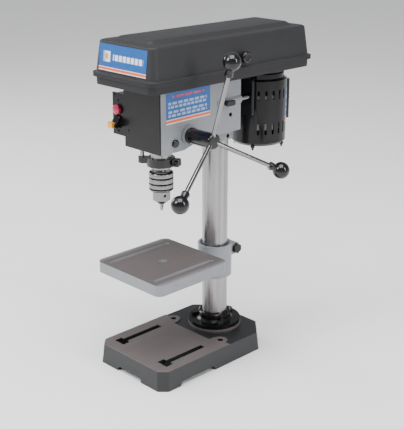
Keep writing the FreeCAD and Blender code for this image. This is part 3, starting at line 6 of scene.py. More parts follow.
import bmesh
import bpy
import numpy as np
from bpy.props import FloatProperty, FloatVectorProperty, PointerProperty
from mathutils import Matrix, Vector


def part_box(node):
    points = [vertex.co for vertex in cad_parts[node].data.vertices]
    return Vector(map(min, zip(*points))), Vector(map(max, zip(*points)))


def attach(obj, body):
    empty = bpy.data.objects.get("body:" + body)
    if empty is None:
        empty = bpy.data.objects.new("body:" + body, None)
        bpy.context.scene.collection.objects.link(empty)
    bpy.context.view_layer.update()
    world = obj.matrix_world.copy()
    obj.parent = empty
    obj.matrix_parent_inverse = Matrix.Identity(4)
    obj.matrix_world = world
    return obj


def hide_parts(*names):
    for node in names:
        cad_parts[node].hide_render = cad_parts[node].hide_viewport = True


bl_info = {
    "name": "Bench drill press",
    "version": (1, 0, 0),
    "blender": (4, 5, 0),
    "location": "3D View > Sidebar > Drill press",
    "description": "Makes the pieces, finishes and stage of a bench drill press",
    "category": "Object",
}

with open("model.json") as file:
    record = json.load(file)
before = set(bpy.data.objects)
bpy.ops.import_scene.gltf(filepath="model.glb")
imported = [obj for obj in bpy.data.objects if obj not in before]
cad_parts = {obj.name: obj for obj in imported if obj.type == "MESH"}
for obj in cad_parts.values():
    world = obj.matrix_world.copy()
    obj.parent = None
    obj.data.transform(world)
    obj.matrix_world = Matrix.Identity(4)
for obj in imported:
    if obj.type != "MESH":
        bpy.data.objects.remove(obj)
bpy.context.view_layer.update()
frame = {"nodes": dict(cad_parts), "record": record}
MM = 0.001


def corner(node, which, axis):
    """One coordinate of a node's box: which is 0 for low and 1 for high."""
    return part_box(node)[which]["xyz".index(axis)]


def middle_of(node, axis):
    """The middle of a node's box along one axis."""
    return corner(node, 0, axis) / 2 + corner(node, 1, axis) / 2


# Levels and places read from the frame
PARTING_Z = middle_of("hinge_pins", "z")
HINGE_X = middle_of("hinge_pins", "x")
TABLE_TOP_Z = corner("work_table", 1, "z")
PAD_Z = next(m["pos_m"][2] for m in frame["record"]["mounts"] if m["name"] == "base_pad")
SPINDLE_Y = middle_of("chuck_sleeve", "y")
MOTOR_Y = middle_of("motor_stator", "y")
FEED_Y = middle_of("feed_hub", "y")
FEED_Z = middle_of("feed_hub", "z")

# Choices that are not settings
FEED_ROD_ANGLES = (91.6, -28.4, -148.4)
LID_LIFT = 0.3 * MM
POLE_RADIUS = 0.02 * MM
LABEL_GAP = 0.02 * MM
LABEL_THICKNESS = 0.25 * MM
LABEL_PAPER = (0.75, 0.8, 0.88)


# Shader maths

class Value:
    """A shader socket that ordinary arithmetic works on. Each operation adds one Math node."""

    def __init__(self, graph, socket):
        self.graph = graph
        self.socket = socket

    def __add__(self, other):
        return self.graph.maths("ADD", self, other)

    def __radd__(self, other):
        return self.graph.maths("ADD", other, self)

    def __sub__(self, other):
        return self.graph.maths("SUBTRACT", self, other)

    def __rsub__(self, other):
        return self.graph.maths("SUBTRACT", other, self)

    def __mul__(self, other):
        return self.graph.maths("MULTIPLY", self, other)

    def __rmul__(self, other):
        return self.graph.maths("MULTIPLY", other, self)

    def __pow__(self, other):
        return self.graph.maths("POWER", self, other)

    def sine(self):
        return self.graph.maths("SINE", self)

    def size(self):
        return self.graph.maths("ABSOLUTE", self)

    def remainder(self, other):
        return self.graph.maths("FLOORED_MODULO", self, other)

    def least(self, other):
        return self.graph.maths("MINIMUM", self, other)

    def most(self, other):
        return self.graph.maths("MAXIMUM", self, other)

    def above(self, edge, softness):
        """0 below the edge and 1 above it, with a straight ramp this wide centred on the edge."""
        ramp = (self - (edge - softness / 2)) * (1 / softness)
        return ramp.most(0.0).least(1.0)

    def between(self, low, high, softness):
        return self.above(low, softness) * (1.0 - self.above(high, softness))


class Finish:
    """One material: a Principled shader and the nodes that feed it."""

    def __init__(self, name, **settings):
        self.material = bpy.data.materials.new(name)
        self.material.use_nodes = True
        self.tree = self.material.node_tree
        self.shader = self.tree.nodes["Principled BSDF"]
        for key, value in settings.items():
            self.shader.inputs[key.replace("_", " ")].default_value = value
        self.places = self.node("ShaderNodeTexCoord")

    def node(self, kind, settings=None, inputs=None):
        """Adds a node: its own settings first, then the values or links of its sockets."""
        made = self.tree.nodes.new(kind)
        for key, value in (settings or {}).items():
            setattr(made, key, value)
        for key, value in (inputs or {}).items():
            self.feed(made.inputs[key], value)
        return made

    def feed(self, socket, value):
        if isinstance(value, Value):
            self.tree.links.new(value.socket, socket)
        elif isinstance(value, bpy.types.NodeSocket):
            self.tree.links.new(value, socket)
        else:
            socket.default_value = value

    def maths(self, operation, *values):
        made = self.node("ShaderNodeMath", {"operation": operation}, dict(enumerate(values)))
        return Value(self, made.outputs[0])

    def place(self, scale=(1, 1, 1)):
        """Object coordinates in metres, stretched along each axis."""
        inputs = {"Vector": self.places.outputs["Object"], "Scale": scale}
        return self.node("ShaderNodeMapping", None, inputs).outputs["Vector"]

    def axes(self, source="Object"):
        """Three Values: the place along X, Y and Z, or across and along a UV map."""
        split = self.node("ShaderNodeSeparateXYZ", None, {"Vector": self.places.outputs[source]})
        return [Value(self, split.outputs[k]) for k in range(3)]

    def noise(self, grain, detail=3.0, roughness=0.55, stretch=(1, 1, 1)):
        """Cloudy noise from 0 to 1. Grain is the size of its features in metres."""
        inputs = {"Vector": self.place(stretch), "Scale": 1 / grain, "Detail": detail, "Roughness": roughness}
        return Value(self, self.node("ShaderNodeTexNoise", None, inputs).outputs["Fac"])

    def mix(self, factor, low, high):
        """A colour between two colours."""
        made = self.node("ShaderNodeMix", {"data_type": "RGBA"})
        self.feed(made.inputs[0], factor)
        self.feed(made.inputs[6], low)
        self.feed(made.inputs[7], high)
        return made.outputs[2]

    def tint(self, factor, colour, dark, light):
        """A colour that varies between two brightnesses of itself."""
        low = (*[c * dark for c in colour[:3]], 1.0)
        high = (*[c * light for c in colour[:3]], 1.0)
        return self.mix(factor, low, high)

    def bump(self, height, depth, strength=1.0):
        """A normal from a height between 0 and 1 that stands for this many metres."""
        made = self.node("ShaderNodeBump", None, {"Height": height, "Strength": strength, "Distance": depth})
        return made.outputs["Normal"]

    def wear(self, colour, roughness, normal=None, metallic=None):
        """Feeds the shader and gives the finished material."""
        inputs = {"Base Color": colour, "Roughness": roughness, "Normal": normal, "Metallic": metallic}
        for key, value in inputs.items():
            if value is not None:
                self.feed(self.shader.inputs[key], value)
        return self.material


# Finishes

def opaque(colour):
    return (*colour[:3], 1.0)


def cast_paint(name, colour, roughness, grain=1.6 * MM, depth=0.12 * MM):
    """Paint over sand-cast iron: orange peel, a faint mottle and slow changes of gloss."""
    finish = Finish(name, Coat_Weight=0.12, Coat_Roughness=0.3)
    peel = finish.noise(grain, 4.0)
    mottle = finish.noise(22 * MM, 2.0)
    dust = finish.noise(0.5 * MM, 2.0)
    tone = finish.tint(mottle * 0.6 + dust * 0.4, colour, 0.84, 1.16)
    gloss = roughness + (mottle - 0.5) * 0.16 + (peel - 0.5) * 0.1
    return finish.wear(tone, gloss, finish.bump(peel, depth, 0.6))


def machined(finish, colour):
    """Colour, gloss and height of a face planed in strokes along Y."""
    stretch = (1, 0.03, 1)
    strokes = finish.noise(0.9 * MM, 3.0, 0.6, stretch)
    broad = finish.noise(9 * MM, 2.0, 0.5, stretch)
    stain = finish.noise(45 * MM, 3.0)
    tone = finish.tint(strokes * 0.45 + broad * 0.35 + stain * 0.2, colour, 0.72, 1.28)
    return tone, 0.34 + strokes * 0.14 + stain * 0.1, strokes


def topped_casting(name, paint, metal, roughness, level, half_width=None):
    """Painted cast iron whose faces above a level are machined bare, and fade beyond a half width."""
    finish = Finish(name, Coat_Weight=0.0)
    across, _, up = finish.axes()
    peel = finish.noise(1.6 * MM, 4.0)
    mottle = finish.noise(24 * MM, 2.0)
    dust = finish.noise(0.5 * MM, 2.0)
    painted = finish.tint(mottle * 0.6 + dust * 0.4, paint, 0.84, 1.16)
    tone, gloss, strokes = machined(finish, metal)
    bare = up.above(level, 0.25 * MM)
    if half_width:
        edge = finish.noise(6 * MM, 2.0) * 3 * MM
        bare = bare * (1.0 - (across.size() + edge).above(half_width, 9 * MM) * 0.55)
    colour = finish.mix(bare, painted, tone)
    shine = bare * gloss + (1.0 - bare) * (roughness + (mottle - 0.5) * 0.16)
    height = bare * strokes * 0.25 + (1.0 - bare) * peel
    return finish.wear(colour, shine, finish.bump(height, 0.11 * MM, 0.6), bare * 0.35)


def ground_bar(name, colour, rings, roughness):
    """Steel ground on centres: fine rings round the bar, and long light and dark bands of painted reflection
    along it, which also vary its gloss a little.
    """
    finish = Finish(name)
    lines = finish.noise(1.2 * MM, 3.0, 0.6, (0.06, 0.06, 1.0) if rings else (1, 1, 0.03))
    # Painted reflection: long bands along the bar that make its colour lighter and darker.
    painted_reflection_bands = finish.noise(9 * MM, 2.0, 0.5, (1, 1, 0.03)).above(0.5, 0.3)
    tone = finish.tint(lines * 0.35 + painted_reflection_bands * 0.65, colour, 0.5, 1.05)
    gloss = roughness + (lines - 0.5) * 0.14 + (painted_reflection_bands - 0.5) * 0.1
    return finish.wear(tone, gloss, finish.bump(lines, 0.015 * MM, 0.5), 1.0)


def polished(name, colour, roughness):
    """Bright polished metal with a few smears."""
    finish = Finish(name)
    smear = finish.noise(12 * MM, 3.0)
    fine = finish.noise(0.7 * MM, 2.0)
    tone = finish.tint(smear, colour, 0.88, 1.06)
    gloss = roughness + (smear - 0.5) * 0.08 + (fine - 0.5) * 0.04
    return finish.wear(tone, gloss, finish.bump(fine, 0.01 * MM, 0.4), 1.0)


def turned_alloy(name, colour):
    """Turned metal, its tool marks crowded along the axis."""
    finish = Finish(name)
    marks = finish.noise(0.5 * MM, 2.0, 0.5, (0.05, 0.05, 1))
    cloud = finish.noise(14 * MM, 2.0)
    tone = finish.tint(marks * 0.6 + cloud * 0.4, colour, 0.78, 1.1)
    return finish.wear(tone, 0.32 + marks * 0.16, finish.bump(marks, 0.02 * MM, 0.5), 1.0)


def moulded(name, colour, roughness, grain, depth, coat=0.0):
    """Moulded plastic: a fine spark texture, flow mottle and handling marks."""
    finish = Finish(name, Coat_Weight=coat, Coat_Roughness=0.08, IOR=1.36)
    texture = finish.noise(grain, 3.0, 0.6)
    flow = finish.noise(30 * MM, 2.0)
    tone = finish.tint(flow * 0.7 + texture * 0.3, colour, 0.86, 1.14)
    gloss = roughness + (flow - 0.5) * 0.1 + (texture - 0.5) * 0.08
    return finish.wear(tone, gloss, finish.bump(texture, depth, 0.5))


def sheet_enamel(name, colour, roughness):
    """Enamel on pressed sheet: smooth, with faint waves and dust specks."""
    finish = Finish(name, Coat_Weight=0.12, Coat_Roughness=0.1, IOR=1.32)
    wave = finish.noise(35 * MM, 1.0)
    speck = finish.noise(0.6 * MM, 2.0)
    tone = finish.tint(wave * 0.5 + speck * 0.5, colour, 0.8, 1.2)
    gloss = roughness + (wave - 0.5) * 0.08 + (speck - 0.5) * 0.1
    return finish.wear(tone, gloss, finish.bump(speck + wave * 3.0, 0.03 * MM, 0.5))


def belt_rubber(name, colour):
    """Matt rubber with a woven face."""
    finish = Finish(name)
    weave = finish.noise(0.8 * MM, 2.0, 0.5, (1, 1, 0.4))
    tone = finish.tint(weave, colour, 0.7, 1.4)
    return finish.wear(tone, 0.7 + weave * 0.15, finish.bump(weave, 0.08 * MM))


def core_sheets(name, colour):
    """Thin iron sheets stacked along Z."""
    finish = Finish(name)
    up = finish.axes()[2]
    sheet = (up * (math.tau / (0.7 * MM))).sine() * 0.5 + 0.5
    grime = finish.noise(5 * MM)
    tone = finish.tint(sheet * 0.5 + grime * 0.5, colour, 0.6, 1.2)
    return finish.wear(tone, 0.5 + grime * 0.2, finish.bump(sheet, 0.05 * MM), 0.6)


def trim_label(name, field, stripe, paper, lines):
    """A printed label: a coloured field, a stripe along its foot above a thin pale edge, and bars in rows.

    Each line of bars is its low and high edge, its left and right end, how many bars would fill the
    label's width, and its ink. All but the last two are shares of the label."""
    finish = Finish(name, Coat_Weight=0.4, Coat_Roughness=0.2)
    across, up, _ = finish.axes("UV")
    fade = finish.noise(20 * MM, 2.0)
    ground = finish.tint(fade, field, 0.92, 1.08)
    colour = finish.mix(up.above(0.145, 0.015), opaque(stripe), ground)
    colour = finish.mix(up.between(0.125, 0.145, 0.01), colour, opaque(paper))
    for low, high, left, right, pieces, ink in lines:
        broken = (across * pieces).remainder(1.0).between(0.12, 0.88, 0.1)
        bar = up.between(low, high, 0.02) * across.between(left, right, 0.01) * broken
        colour = finish.mix(bar, colour, opaque(ink))
    colour = finish.mix(up.above(0.03, 0.015), opaque(paper), colour)
    grain = finish.noise(0.3 * MM, 2.0)
    return finish.wear(colour, 0.35 + fade * 0.12, finish.bump(grain, 0.01 * MM, 0.4))


def studio_floor(name, colour):
    """Plain matt paper."""
    finish = Finish(name)
    cloud = finish.noise(0.6, 2.0)
    return finish.wear(finish.tint(cloud, colour, 0.985, 1.015), 0.6 + cloud * 0.1)


# Surfaces

def mesh_from_rows(rows, wrap=True, caps=True):
    """Vertices and faces of a grid: each row of points is joined to the next by quads.

    With wrap the last column joins the first. With caps the first and last rows are closed by a face."""
    count, width = rows.shape[:2]
    index = np.arange(count * width).reshape(count, width)
    right = np.roll(index, -1, axis=1) if wrap else index[:, 1:]
    left = index if wrap else index[:, :-1]
    quads = np.stack([left[:-1], right[:-1], right[1:], left[1:]], axis=-1).reshape(-1, 4)
    faces = quads.tolist()
    if caps:
        faces += [index[0][::-1].tolist(), index[-1].tolist()]
    return rows.reshape(-1, 3), faces


def enclosed_volume(mesh):
    """The signed volume: a sixth of the sum of each triangle's triple product."""
    mesh.calc_loop_triangles()
    corners = np.zeros(len(mesh.loop_triangles) * 3, np.int32)
    mesh.loop_triangles.foreach_get("vertices", corners)
    places = np.zeros(len(mesh.vertices) * 3)
    mesh.vertices.foreach_get("co", places)
    a, b, c = places.reshape(-1, 3)[corners.reshape(-1, 3)].transpose(1, 0, 2)
    return np.einsum("ij,ij->", a, np.cross(b, c)) / 6


def piece_from(name, parts, smooth=math.radians(38)):
    """One object from closed surfaces, each turned outwards, with its sharp edges kept."""
    places = []
    faces = []
    for vertices, polygons in parts:
        scrap = bpy.data.meshes.new("scrap")
        scrap.from_pydata(vertices.tolist(), [], polygons)
        if enclosed_volume(scrap) < 0:
            polygons = [polygon[::-1] for polygon in polygons]
        bpy.data.meshes.remove(scrap)
        start = sum(len(block) for block in places)
        faces += [[corner + start for corner in polygon] for polygon in polygons]
        places.append(vertices)
    mesh = bpy.data.meshes.new(name)
    mesh.from_pydata(np.concatenate(places).tolist(), [], faces)
    mesh.polygons.foreach_set("use_smooth", np.ones(len(mesh.polygons), bool))
    mesh.set_sharp_from_angle(angle=smooth)
    mesh.update()
    piece = bpy.data.objects.new(name, mesh)
    bpy.context.scene.collection.objects.link(piece)
    return piece


def set_up(piece, body, slot, *nodes):
    """Gives a piece its body, its finish and the CAD nodes that it stands for."""
    piece.data.materials.clear()
    piece.data.materials.append(finish_of(slot))
    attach(piece, body)
    if nodes:
        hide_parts(*nodes)


def eased(points, radii, steps=5):
    """A path through 2D points whose inner corners are rounded.

    Each corner becomes a quadratic curve between two points at its radius from the corner."""
    points = np.asarray(points, float)
    t = np.linspace(0, 1, steps)[:, None]
    path = [points[:1]]
    for k, radius in enumerate(radii, start=1):
        before = points[k - 1] - points[k]
        after = points[k + 1] - points[k]
        start = points[k] + before / np.linalg.norm(before) * min(radius, np.linalg.norm(before) * 0.49)
        end = points[k] + after / np.linalg.norm(after) * min(radius, np.linalg.norm(after) * 0.49)
        path.append((1 - t) ** 2 * start + 2 * t * (1 - t) * points[k] + t ** 2 * end)
    path.append(points[-1:])
    return np.concatenate(path)


def frame_about(axis):
    """Two unit vectors square to an axis and to each other."""
    axis = np.asarray(axis, float) / np.linalg.norm(axis)
    helper = np.eye(3)[np.argmin(np.abs(axis))]
    across = np.cross(axis, helper)
    across /= np.linalg.norm(across)
    return axis, across, np.cross(axis, across)


def turned(profile, foot, axis=(0, 0, 1), count=72, ripple=None):
    """A surface of revolution: radius and height from a profile, carried round an axis.

    A point is foot + height * axis + radius * (cos a, sin a). A ripple is a share of the radius that
    depends on the angle a and the profile's row."""
    radius, height = np.asarray(profile, float).T
    axis, across, up = frame_about(axis)
    angle = np.linspace(0, math.tau, count, endpoint=False)
    reach = radius[:, None] * np.ones(count)
    if ripple is not None:
        reach = reach * ripple(angle, height[:, None])
    rows = np.asarray(foot, float) + height[:, None, None] * axis
    rows = rows + reach[..., None] * (np.cos(angle)[:, None] * across + np.sin(angle)[:, None] * up)
    return mesh_from_rows(rows)


def ring_turned(profile, foot, axis=(0, 0, 1), count=72):
    """A closed profile carried round an axis, so the surface is a ring with a hole through it.

    The profile's first row is added again at its end, and then that row's points and the two end
    faces are dropped, so the last faces join the first row."""
    loop = np.concatenate([profile, profile[:1]])
    vertices, faces = turned(loop, foot, axis, count)
    last = (len(loop) - 1) * count
    faces = [[c - last if c >= last else c for c in face] for face in faces[:-2]]
    return vertices[:last], faces


def rounded_plan(half_x, half_y, corner_radius, steps=10, sides=9):
    """Rings of points round rectangles with round corners, one row for each height.

    Each corner is a quarter circle of steps points, and each side has points spread evenly between."""
    half_x, half_y, radius = (np.asarray(v, float)[:, None] for v in (half_x, half_y, corner_radius))
    quarter = np.linspace(0, math.pi / 2, steps)
    x_rows = []
    y_rows = []
    for k, (sign_x, sign_y) in enumerate(((1, 1), (-1, 1), (-1, -1), (1, -1))):
        angle = quarter + k * math.pi / 2
        x_rows.append(sign_x * (half_x - radius) + radius * np.cos(angle))
        y_rows.append(sign_y * (half_y - radius) + radius * np.sin(angle))
    x = np.concatenate(x_rows, axis=1)
    y = np.concatenate(y_rows, axis=1)
    share = np.linspace(0, 1, sides + 2)[1:-1]
    x_all = []
    y_all = []
    for k in range(4):
        part = slice(k * steps, (k + 1) * steps)
        end = (k + 1) * steps - 1
        start = ((k + 1) * steps) % (4 * steps)
        x_all += [x[:, part], x[:, end:end + 1] + (x[:, start:start + 1] - x[:, end:end + 1]) * share]
        y_all += [y[:, part], y[:, end:end + 1] + (y[:, start:start + 1] - y[:, end:end + 1]) * share]
    return np.concatenate(x_all, axis=1), np.concatenate(y_all, axis=1)


def block(low, high, edge, steps=4):
    """A solid block with rounded edges: rounded plans whose inset follows a quarter circle at each end."""
    low = np.asarray(low, float)
    high = np.asarray(high, float)
    half = (high - low) / 2
    centre = (high + low) / 2
    edge = min(edge, half.min() * 0.9)
    angle = np.linspace(0, math.pi / 2, steps)
    inset = np.concatenate([edge * (1 - np.sin(angle)), edge * (1 - np.cos(angle))])
    height = np.concatenate([-half[2] + edge * (1 - np.cos(angle)), half[2] - edge * (1 - np.sin(angle))])
    x, y = rounded_plan(half[0] - inset, half[1] - inset, edge - inset * 0.7, steps, 1)
    rows = np.stack([x, y, height[:, None] * np.ones_like(x)], axis=-1) + centre
    return mesh_from_rows(rows)


# Settings

class DrillPressColours(bpy.types.PropertyGroup):
    """Paint, plastic and metal colours."""

    casting: FloatVectorProperty(
        name="Casting grey", description="Paint on the head and the table bracket",
        default=(0.225, 0.236, 0.256), subtype="COLOR", min=0, max=1)
    base: FloatVectorProperty(
        name="Base", description="Paint on the base", default=(0.012, 0.013, 0.014),
        subtype="COLOR", min=0, max=1)
    machined: FloatVectorProperty(
        name="Machined iron", description="Bare machined iron of the table and the pad",
        default=(0.21, 0.18, 0.177), subtype="COLOR", min=0, max=1)
    cover: FloatVectorProperty(
        name="Cover", description="Textured plastic of the pulley cover", default=(0.02, 0.02, 0.022),
        subtype="COLOR", min=0, max=1)
    black: FloatVectorProperty(
        name="Black", description="Gloss black paint and plastic", default=(0.005, 0.005, 0.006),
        subtype="COLOR", min=0, max=1)
    steel: FloatVectorProperty(
        name="Steel", description="Ground and polished steel", default=(0.42, 0.405, 0.41),
        subtype="COLOR", min=0, max=1)
    label: FloatVectorProperty(
        name="Label", description="Field of the printed labels", default=(0.0, 0.085, 0.32),
        subtype="COLOR", min=0, max=1)
    stripe: FloatVectorProperty(
        name="Stripe", description="Stripe along the foot of the labels", default=(0.82, 0.12, 0.015),
        subtype="COLOR", min=0, max=1)


class DrillPressSizes(bpy.types.PropertyGroup):
    """Sizes of the pieces that are made here."""

    wall: FloatProperty(
        name="Cover wall", description="Thickness of the moulded cover", default=2.5 * MM,
        unit="LENGTH", min=1 * MM, max=5 * MM)
    rim: FloatProperty(
        name="Rim thickness", description="Thickness of the lid's rim", default=3.5 * MM,
        unit="LENGTH", min=1 * MM, max=8 * MM)
    rim_proud: FloatProperty(
        name="Rim reach", description="How far the rim stands out from the wall", default=4.5 * MM,
        unit="LENGTH", min=0, max=10 * MM)
    shoulder_inset: FloatProperty(
        name="Shoulder inset", description="How far the lid's walls lean in", default=10.6 * MM,
        unit="LENGTH", min=0, max=30 * MM)
    shoulder_radius: FloatProperty(
        name="Shoulder radius", description="Rounding where the lid's walls meet its top",
        default=4.0 * MM, unit="LENGTH", min=1 * MM, max=12 * MM)
    panel_rise: FloatProperty(
        name="Panel rise", description="Height of the raised panel on the lid", default=6.5 * MM,
        unit="LENGTH", min=1 * MM, max=12 * MM)
    panel_bevel: FloatProperty(
        name="Panel bevel", description="Width of the raised panel's sloping edge", default=7.5 * MM,
        unit="LENGTH", min=1 * MM, max=15 * MM)
    cast_edge: FloatProperty(
        name="Cast edge", description="Rounding on the edges of the castings", default=1.1 * MM,
        unit="LENGTH", min=0.2 * MM, max=3 * MM)
    sheet_edge: FloatProperty(
        name="Sheet edge", description="Rounding on sheet metal and small parts", default=0.5 * MM,
        unit="LENGTH", min=0.1 * MM, max=2 * MM)
    knob_radius: FloatProperty(
        name="Ball radius", description="Radius of the feed handle's balls", default=14.5 * MM,
        unit="LENGTH", min=8 * MM, max=20 * MM)


class DrillPressSettings(bpy.types.PropertyGroup):
    """Everything that a user would change."""

    colours: PointerProperty(type=DrillPressColours)
    sizes: PointerProperty(type=DrillPressSizes)


def colours():
    return bpy.context.scene.drill_press.colours


def sizes():
    return bpy.context.scene.drill_press.sizes


def finish_makers():
    """For each material slot of the record, what makes its finish."""
    c = colours()
    grey = tuple(c.casting)
    black = tuple(c.black)
    steel = tuple(c.steel)
    dark = tuple(0.03 * v for v in steel)
    # Painted light: one machined iron in two brightnesses, the pad's made lighter against the shade of the
    # table over it and the table's darker for the light that falls on it.
    pad_iron_lightened_for_shade = tuple(0.62 * v for v in c.machined)
    table_iron_darkened_for_light = tuple(0.55 * v for v in c.machined)
    return {
        "base_paint": lambda n: topped_casting(n, tuple(c.base), pad_iron_lightened_for_shade, 0.42, PAD_Z - 0.6 * MM),
        "flange_paint": lambda n: sheet_enamel(n, black, 0.24),
        "dark_steel": lambda n: sheet_enamel(n, dark, 0.36),
        "column_steel": lambda n: ground_bar(n, steel, False, 0.3),
        "grey_paint": lambda n: cast_paint(n, grey, 0.4),
        "table_finish": lambda n: topped_casting(
            n, grey, table_iron_darkened_for_light, 0.42, TABLE_TOP_Z - 0.4 * MM, 76 * MM),
        "black_sheet": lambda n: sheet_enamel(n, black, 0.3),
        "motor_paint": lambda n: sheet_enamel(n, black, 0.2),
        "black_plastic": lambda n: moulded(n, black, 0.16, 1.2 * MM, 0.01 * MM, 0.4),
        "chrome": lambda n: polished(n, tuple(0.6 * v for v in steel), 0.12),
        "ground_steel": lambda n: ground_bar(n, steel, True, 0.28),
        "black_oxide": lambda n: cast_paint(n, black, 0.34, 1.0 * MM, 0.05 * MM),
        "pulley_alloy": lambda n: turned_alloy(n, (0.72, 0.73, 0.75)),
        "belt_rubber": lambda n: belt_rubber(n, (0.02, 0.02, 0.02)),
        "guard_plastic": lambda n: moulded(n, tuple(c.cover), 0.55, 0.9 * MM, 0.05 * MM),
        "core_iron": lambda n: core_sheets(n, (0.25, 0.24, 0.23)),
        "red_plastic": lambda n: moulded(n, (0.42, 0.02, 0.07), 0.25, 1.0 * MM, 0.01 * MM, 0.3),
        "yellow_plastic": lambda n: moulded(n, (0.75, 0.36, 0.03), 0.3, 1.0 * MM, 0.01 * MM, 0.3),
    }


def finish_of(slot):
    """The slot's material, made the first time that it is asked for."""
    name = slot + "_surface"
    return bpy.data.materials.get(name) or finish_makers()[slot](name)


# Pieces

def lid_rows():
    """The lid as rings round its plan, from the middle of its ceiling, down the inside, round the rim and
    back up the outside to the middle of its raised panel.

    Each ring is a rectangle with round corners. Its distance in from the lid's ends is the profile's reach,
    and its distance in from the sides and its corner radius follow from that by straight lines."""
    z = sizes()
    low_corner, high_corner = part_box("pulley_lid")
    half_x = high_corner.x
    half_y = (high_corner.y - low_corner.y) / 2
    low = PARTING_Z + LID_LIFT
    top = high_corner.z - z.panel_rise
    wall = z.wall
    inset = z.shoulder_inset
    foot = 24.8 * MM
    side_foot = 31.35 * MM
    crest = foot + z.panel_bevel
    side_crest = side_foot + z.panel_bevel
    middle = half_x - 8 * MM
    outside = eased(
        [(0, low), (0, low + z.rim), (z.rim_proud, low + z.rim), (inset, top), (foot, top),
         (crest, high_corner.z - 0.4 * MM), (middle, high_corner.z)],
        [1.0 * MM, 1.2 * MM, z.shoulder_radius, 2.0 * MM, 2.5 * MM])
    inside = eased(
        [(middle, high_corner.z - wall), (crest + wall, high_corner.z - wall), (foot + wall, top - wall),
         (inset + wall, top - wall), (z.rim_proud + wall, low)],
        [2.0 * MM, 2.0 * MM, 3.0 * MM])
    profile = np.concatenate([inside, outside])
    reach, height = profile.T
    knots = [0, inset, foot, crest, middle]
    side = np.interp(reach, knots, [0, inset, side_foot, side_crest, 70 * MM])
    radius = np.interp(reach, knots, [16 * MM, 12 * MM, 9 * MM, 6 * MM, 2 * MM])
    x, y = rounded_plan(half_x - side, half_y - reach, radius)
    centre_y = (high_corner.y + low_corner.y) / 2
    return np.stack([x, y + centre_y, height[:, None] * np.ones_like(x)], axis=-1)


def hinge_parts():
    """The lid's two middle knuckles, each a tube on the pin with a leaf to the rim."""
    low_corner, high_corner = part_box("hinge_pins")
    half = 5 * MM
    bore = 1.65 * MM
    outer = 3.4 * MM
    profile = [(bore, -half), (outer, -half), (outer, half), (bore, half)]
    parts = []
    for y in (low_corner.y + 15 * MM, high_corner.y - 15 * MM):
        parts.append(ring_turned(np.array(profile), (HINGE_X, y, PARTING_Z), (0, 1, 0), 32))
        leaf_low = (HINGE_X + 2 * MM, y - half, PARTING_Z + LID_LIFT)
        leaf_high = (-corner("pulley_lid", 1, "x") + 2 * MM, y + half, PARTING_Z + 3.6 * MM)
        parts.append(block(leaf_low, leaf_high, 0.6 * MM))
    return parts


class DRILLPRESS_OT_lid(bpy.types.Operator):
    """Make the pulley cover's lid with its raised panel, and its hinge knuckles"""

    bl_idname = "drillpress.lid"
    bl_label = "Lid"

    def execute(self, context):
        lid = piece_from("lid_shell", [mesh_from_rows(lid_rows())], math.radians(40))
        set_up(lid, "lid", "guard_plastic", "pulley_lid")
        set_up(piece_from("lid_hinges", hinge_parts()), "lid", "guard_plastic")
        return {"FINISHED"}


def rod_axes():
    """Where the three feed rods end and which way they point.

    Each rod's points are those near its angle about the feed shaft, and its direction is the one along
    which they spread the most."""
    mesh = frame["nodes"]["feed_rods"].data
    places = np.zeros(len(mesh.vertices) * 3)
    mesh.vertices.foreach_get("co", places)
    places = places.reshape(-1, 3)
    angle = np.degrees(np.arctan2(places[:, 2] - FEED_Z, places[:, 1] - FEED_Y))
    axes = []
    for middle in FEED_ROD_ANGLES:
        near = np.abs((angle - middle + 180) % 360 - 180) < 50
        cloud = places[near]
        centre = (cloud.min(0) + cloud.max(0)) / 2
        direction = np.linalg.svd(cloud - cloud.mean(0), full_matrices=False)[2][0]
        if direction @ (centre - np.array([0, FEED_Y, FEED_Z])) < 0:
            direction = -direction
        along = (cloud - centre) @ direction
        axes.append((centre + direction * along.max(), direction))
    return axes


def ball_profile(radius):
    """A ball on a waisted neck. Heights are measured from the rod's end, which is the centre of the ball."""
    angle = np.linspace(math.radians(26), math.pi, 26)
    ball = np.stack([radius * np.sin(angle), -radius * np.cos(angle)], axis=-1)
    neck = [(0.0005, -24.5), (6.6, -24.5), (7.2, -23.6), (7.0, -20.5), (6.2, -16.5)]
    neck = np.array(neck) * MM
    ball[-1, 0] = POLE_RADIUS
    return np.concatenate([neck, ball])


class DRILLPRESS_OT_feed_knobs(bpy.types.Operator):
    """Make the three ball knobs of the feed handle"""

    bl_idname = "drillpress.feed_knobs"
    bl_label = "Feed knobs"

    def execute(self, context):
        radius = sizes().knob_radius
        parts = []
        for end, direction in rod_axes():
            parts.append(turned(ball_profile(radius), end, direction))
        piece = piece_from("feed_handle_knobs", parts)
        set_up(piece, "feed", "black_plastic", "feed_knobs")
        return {"FINISHED"}


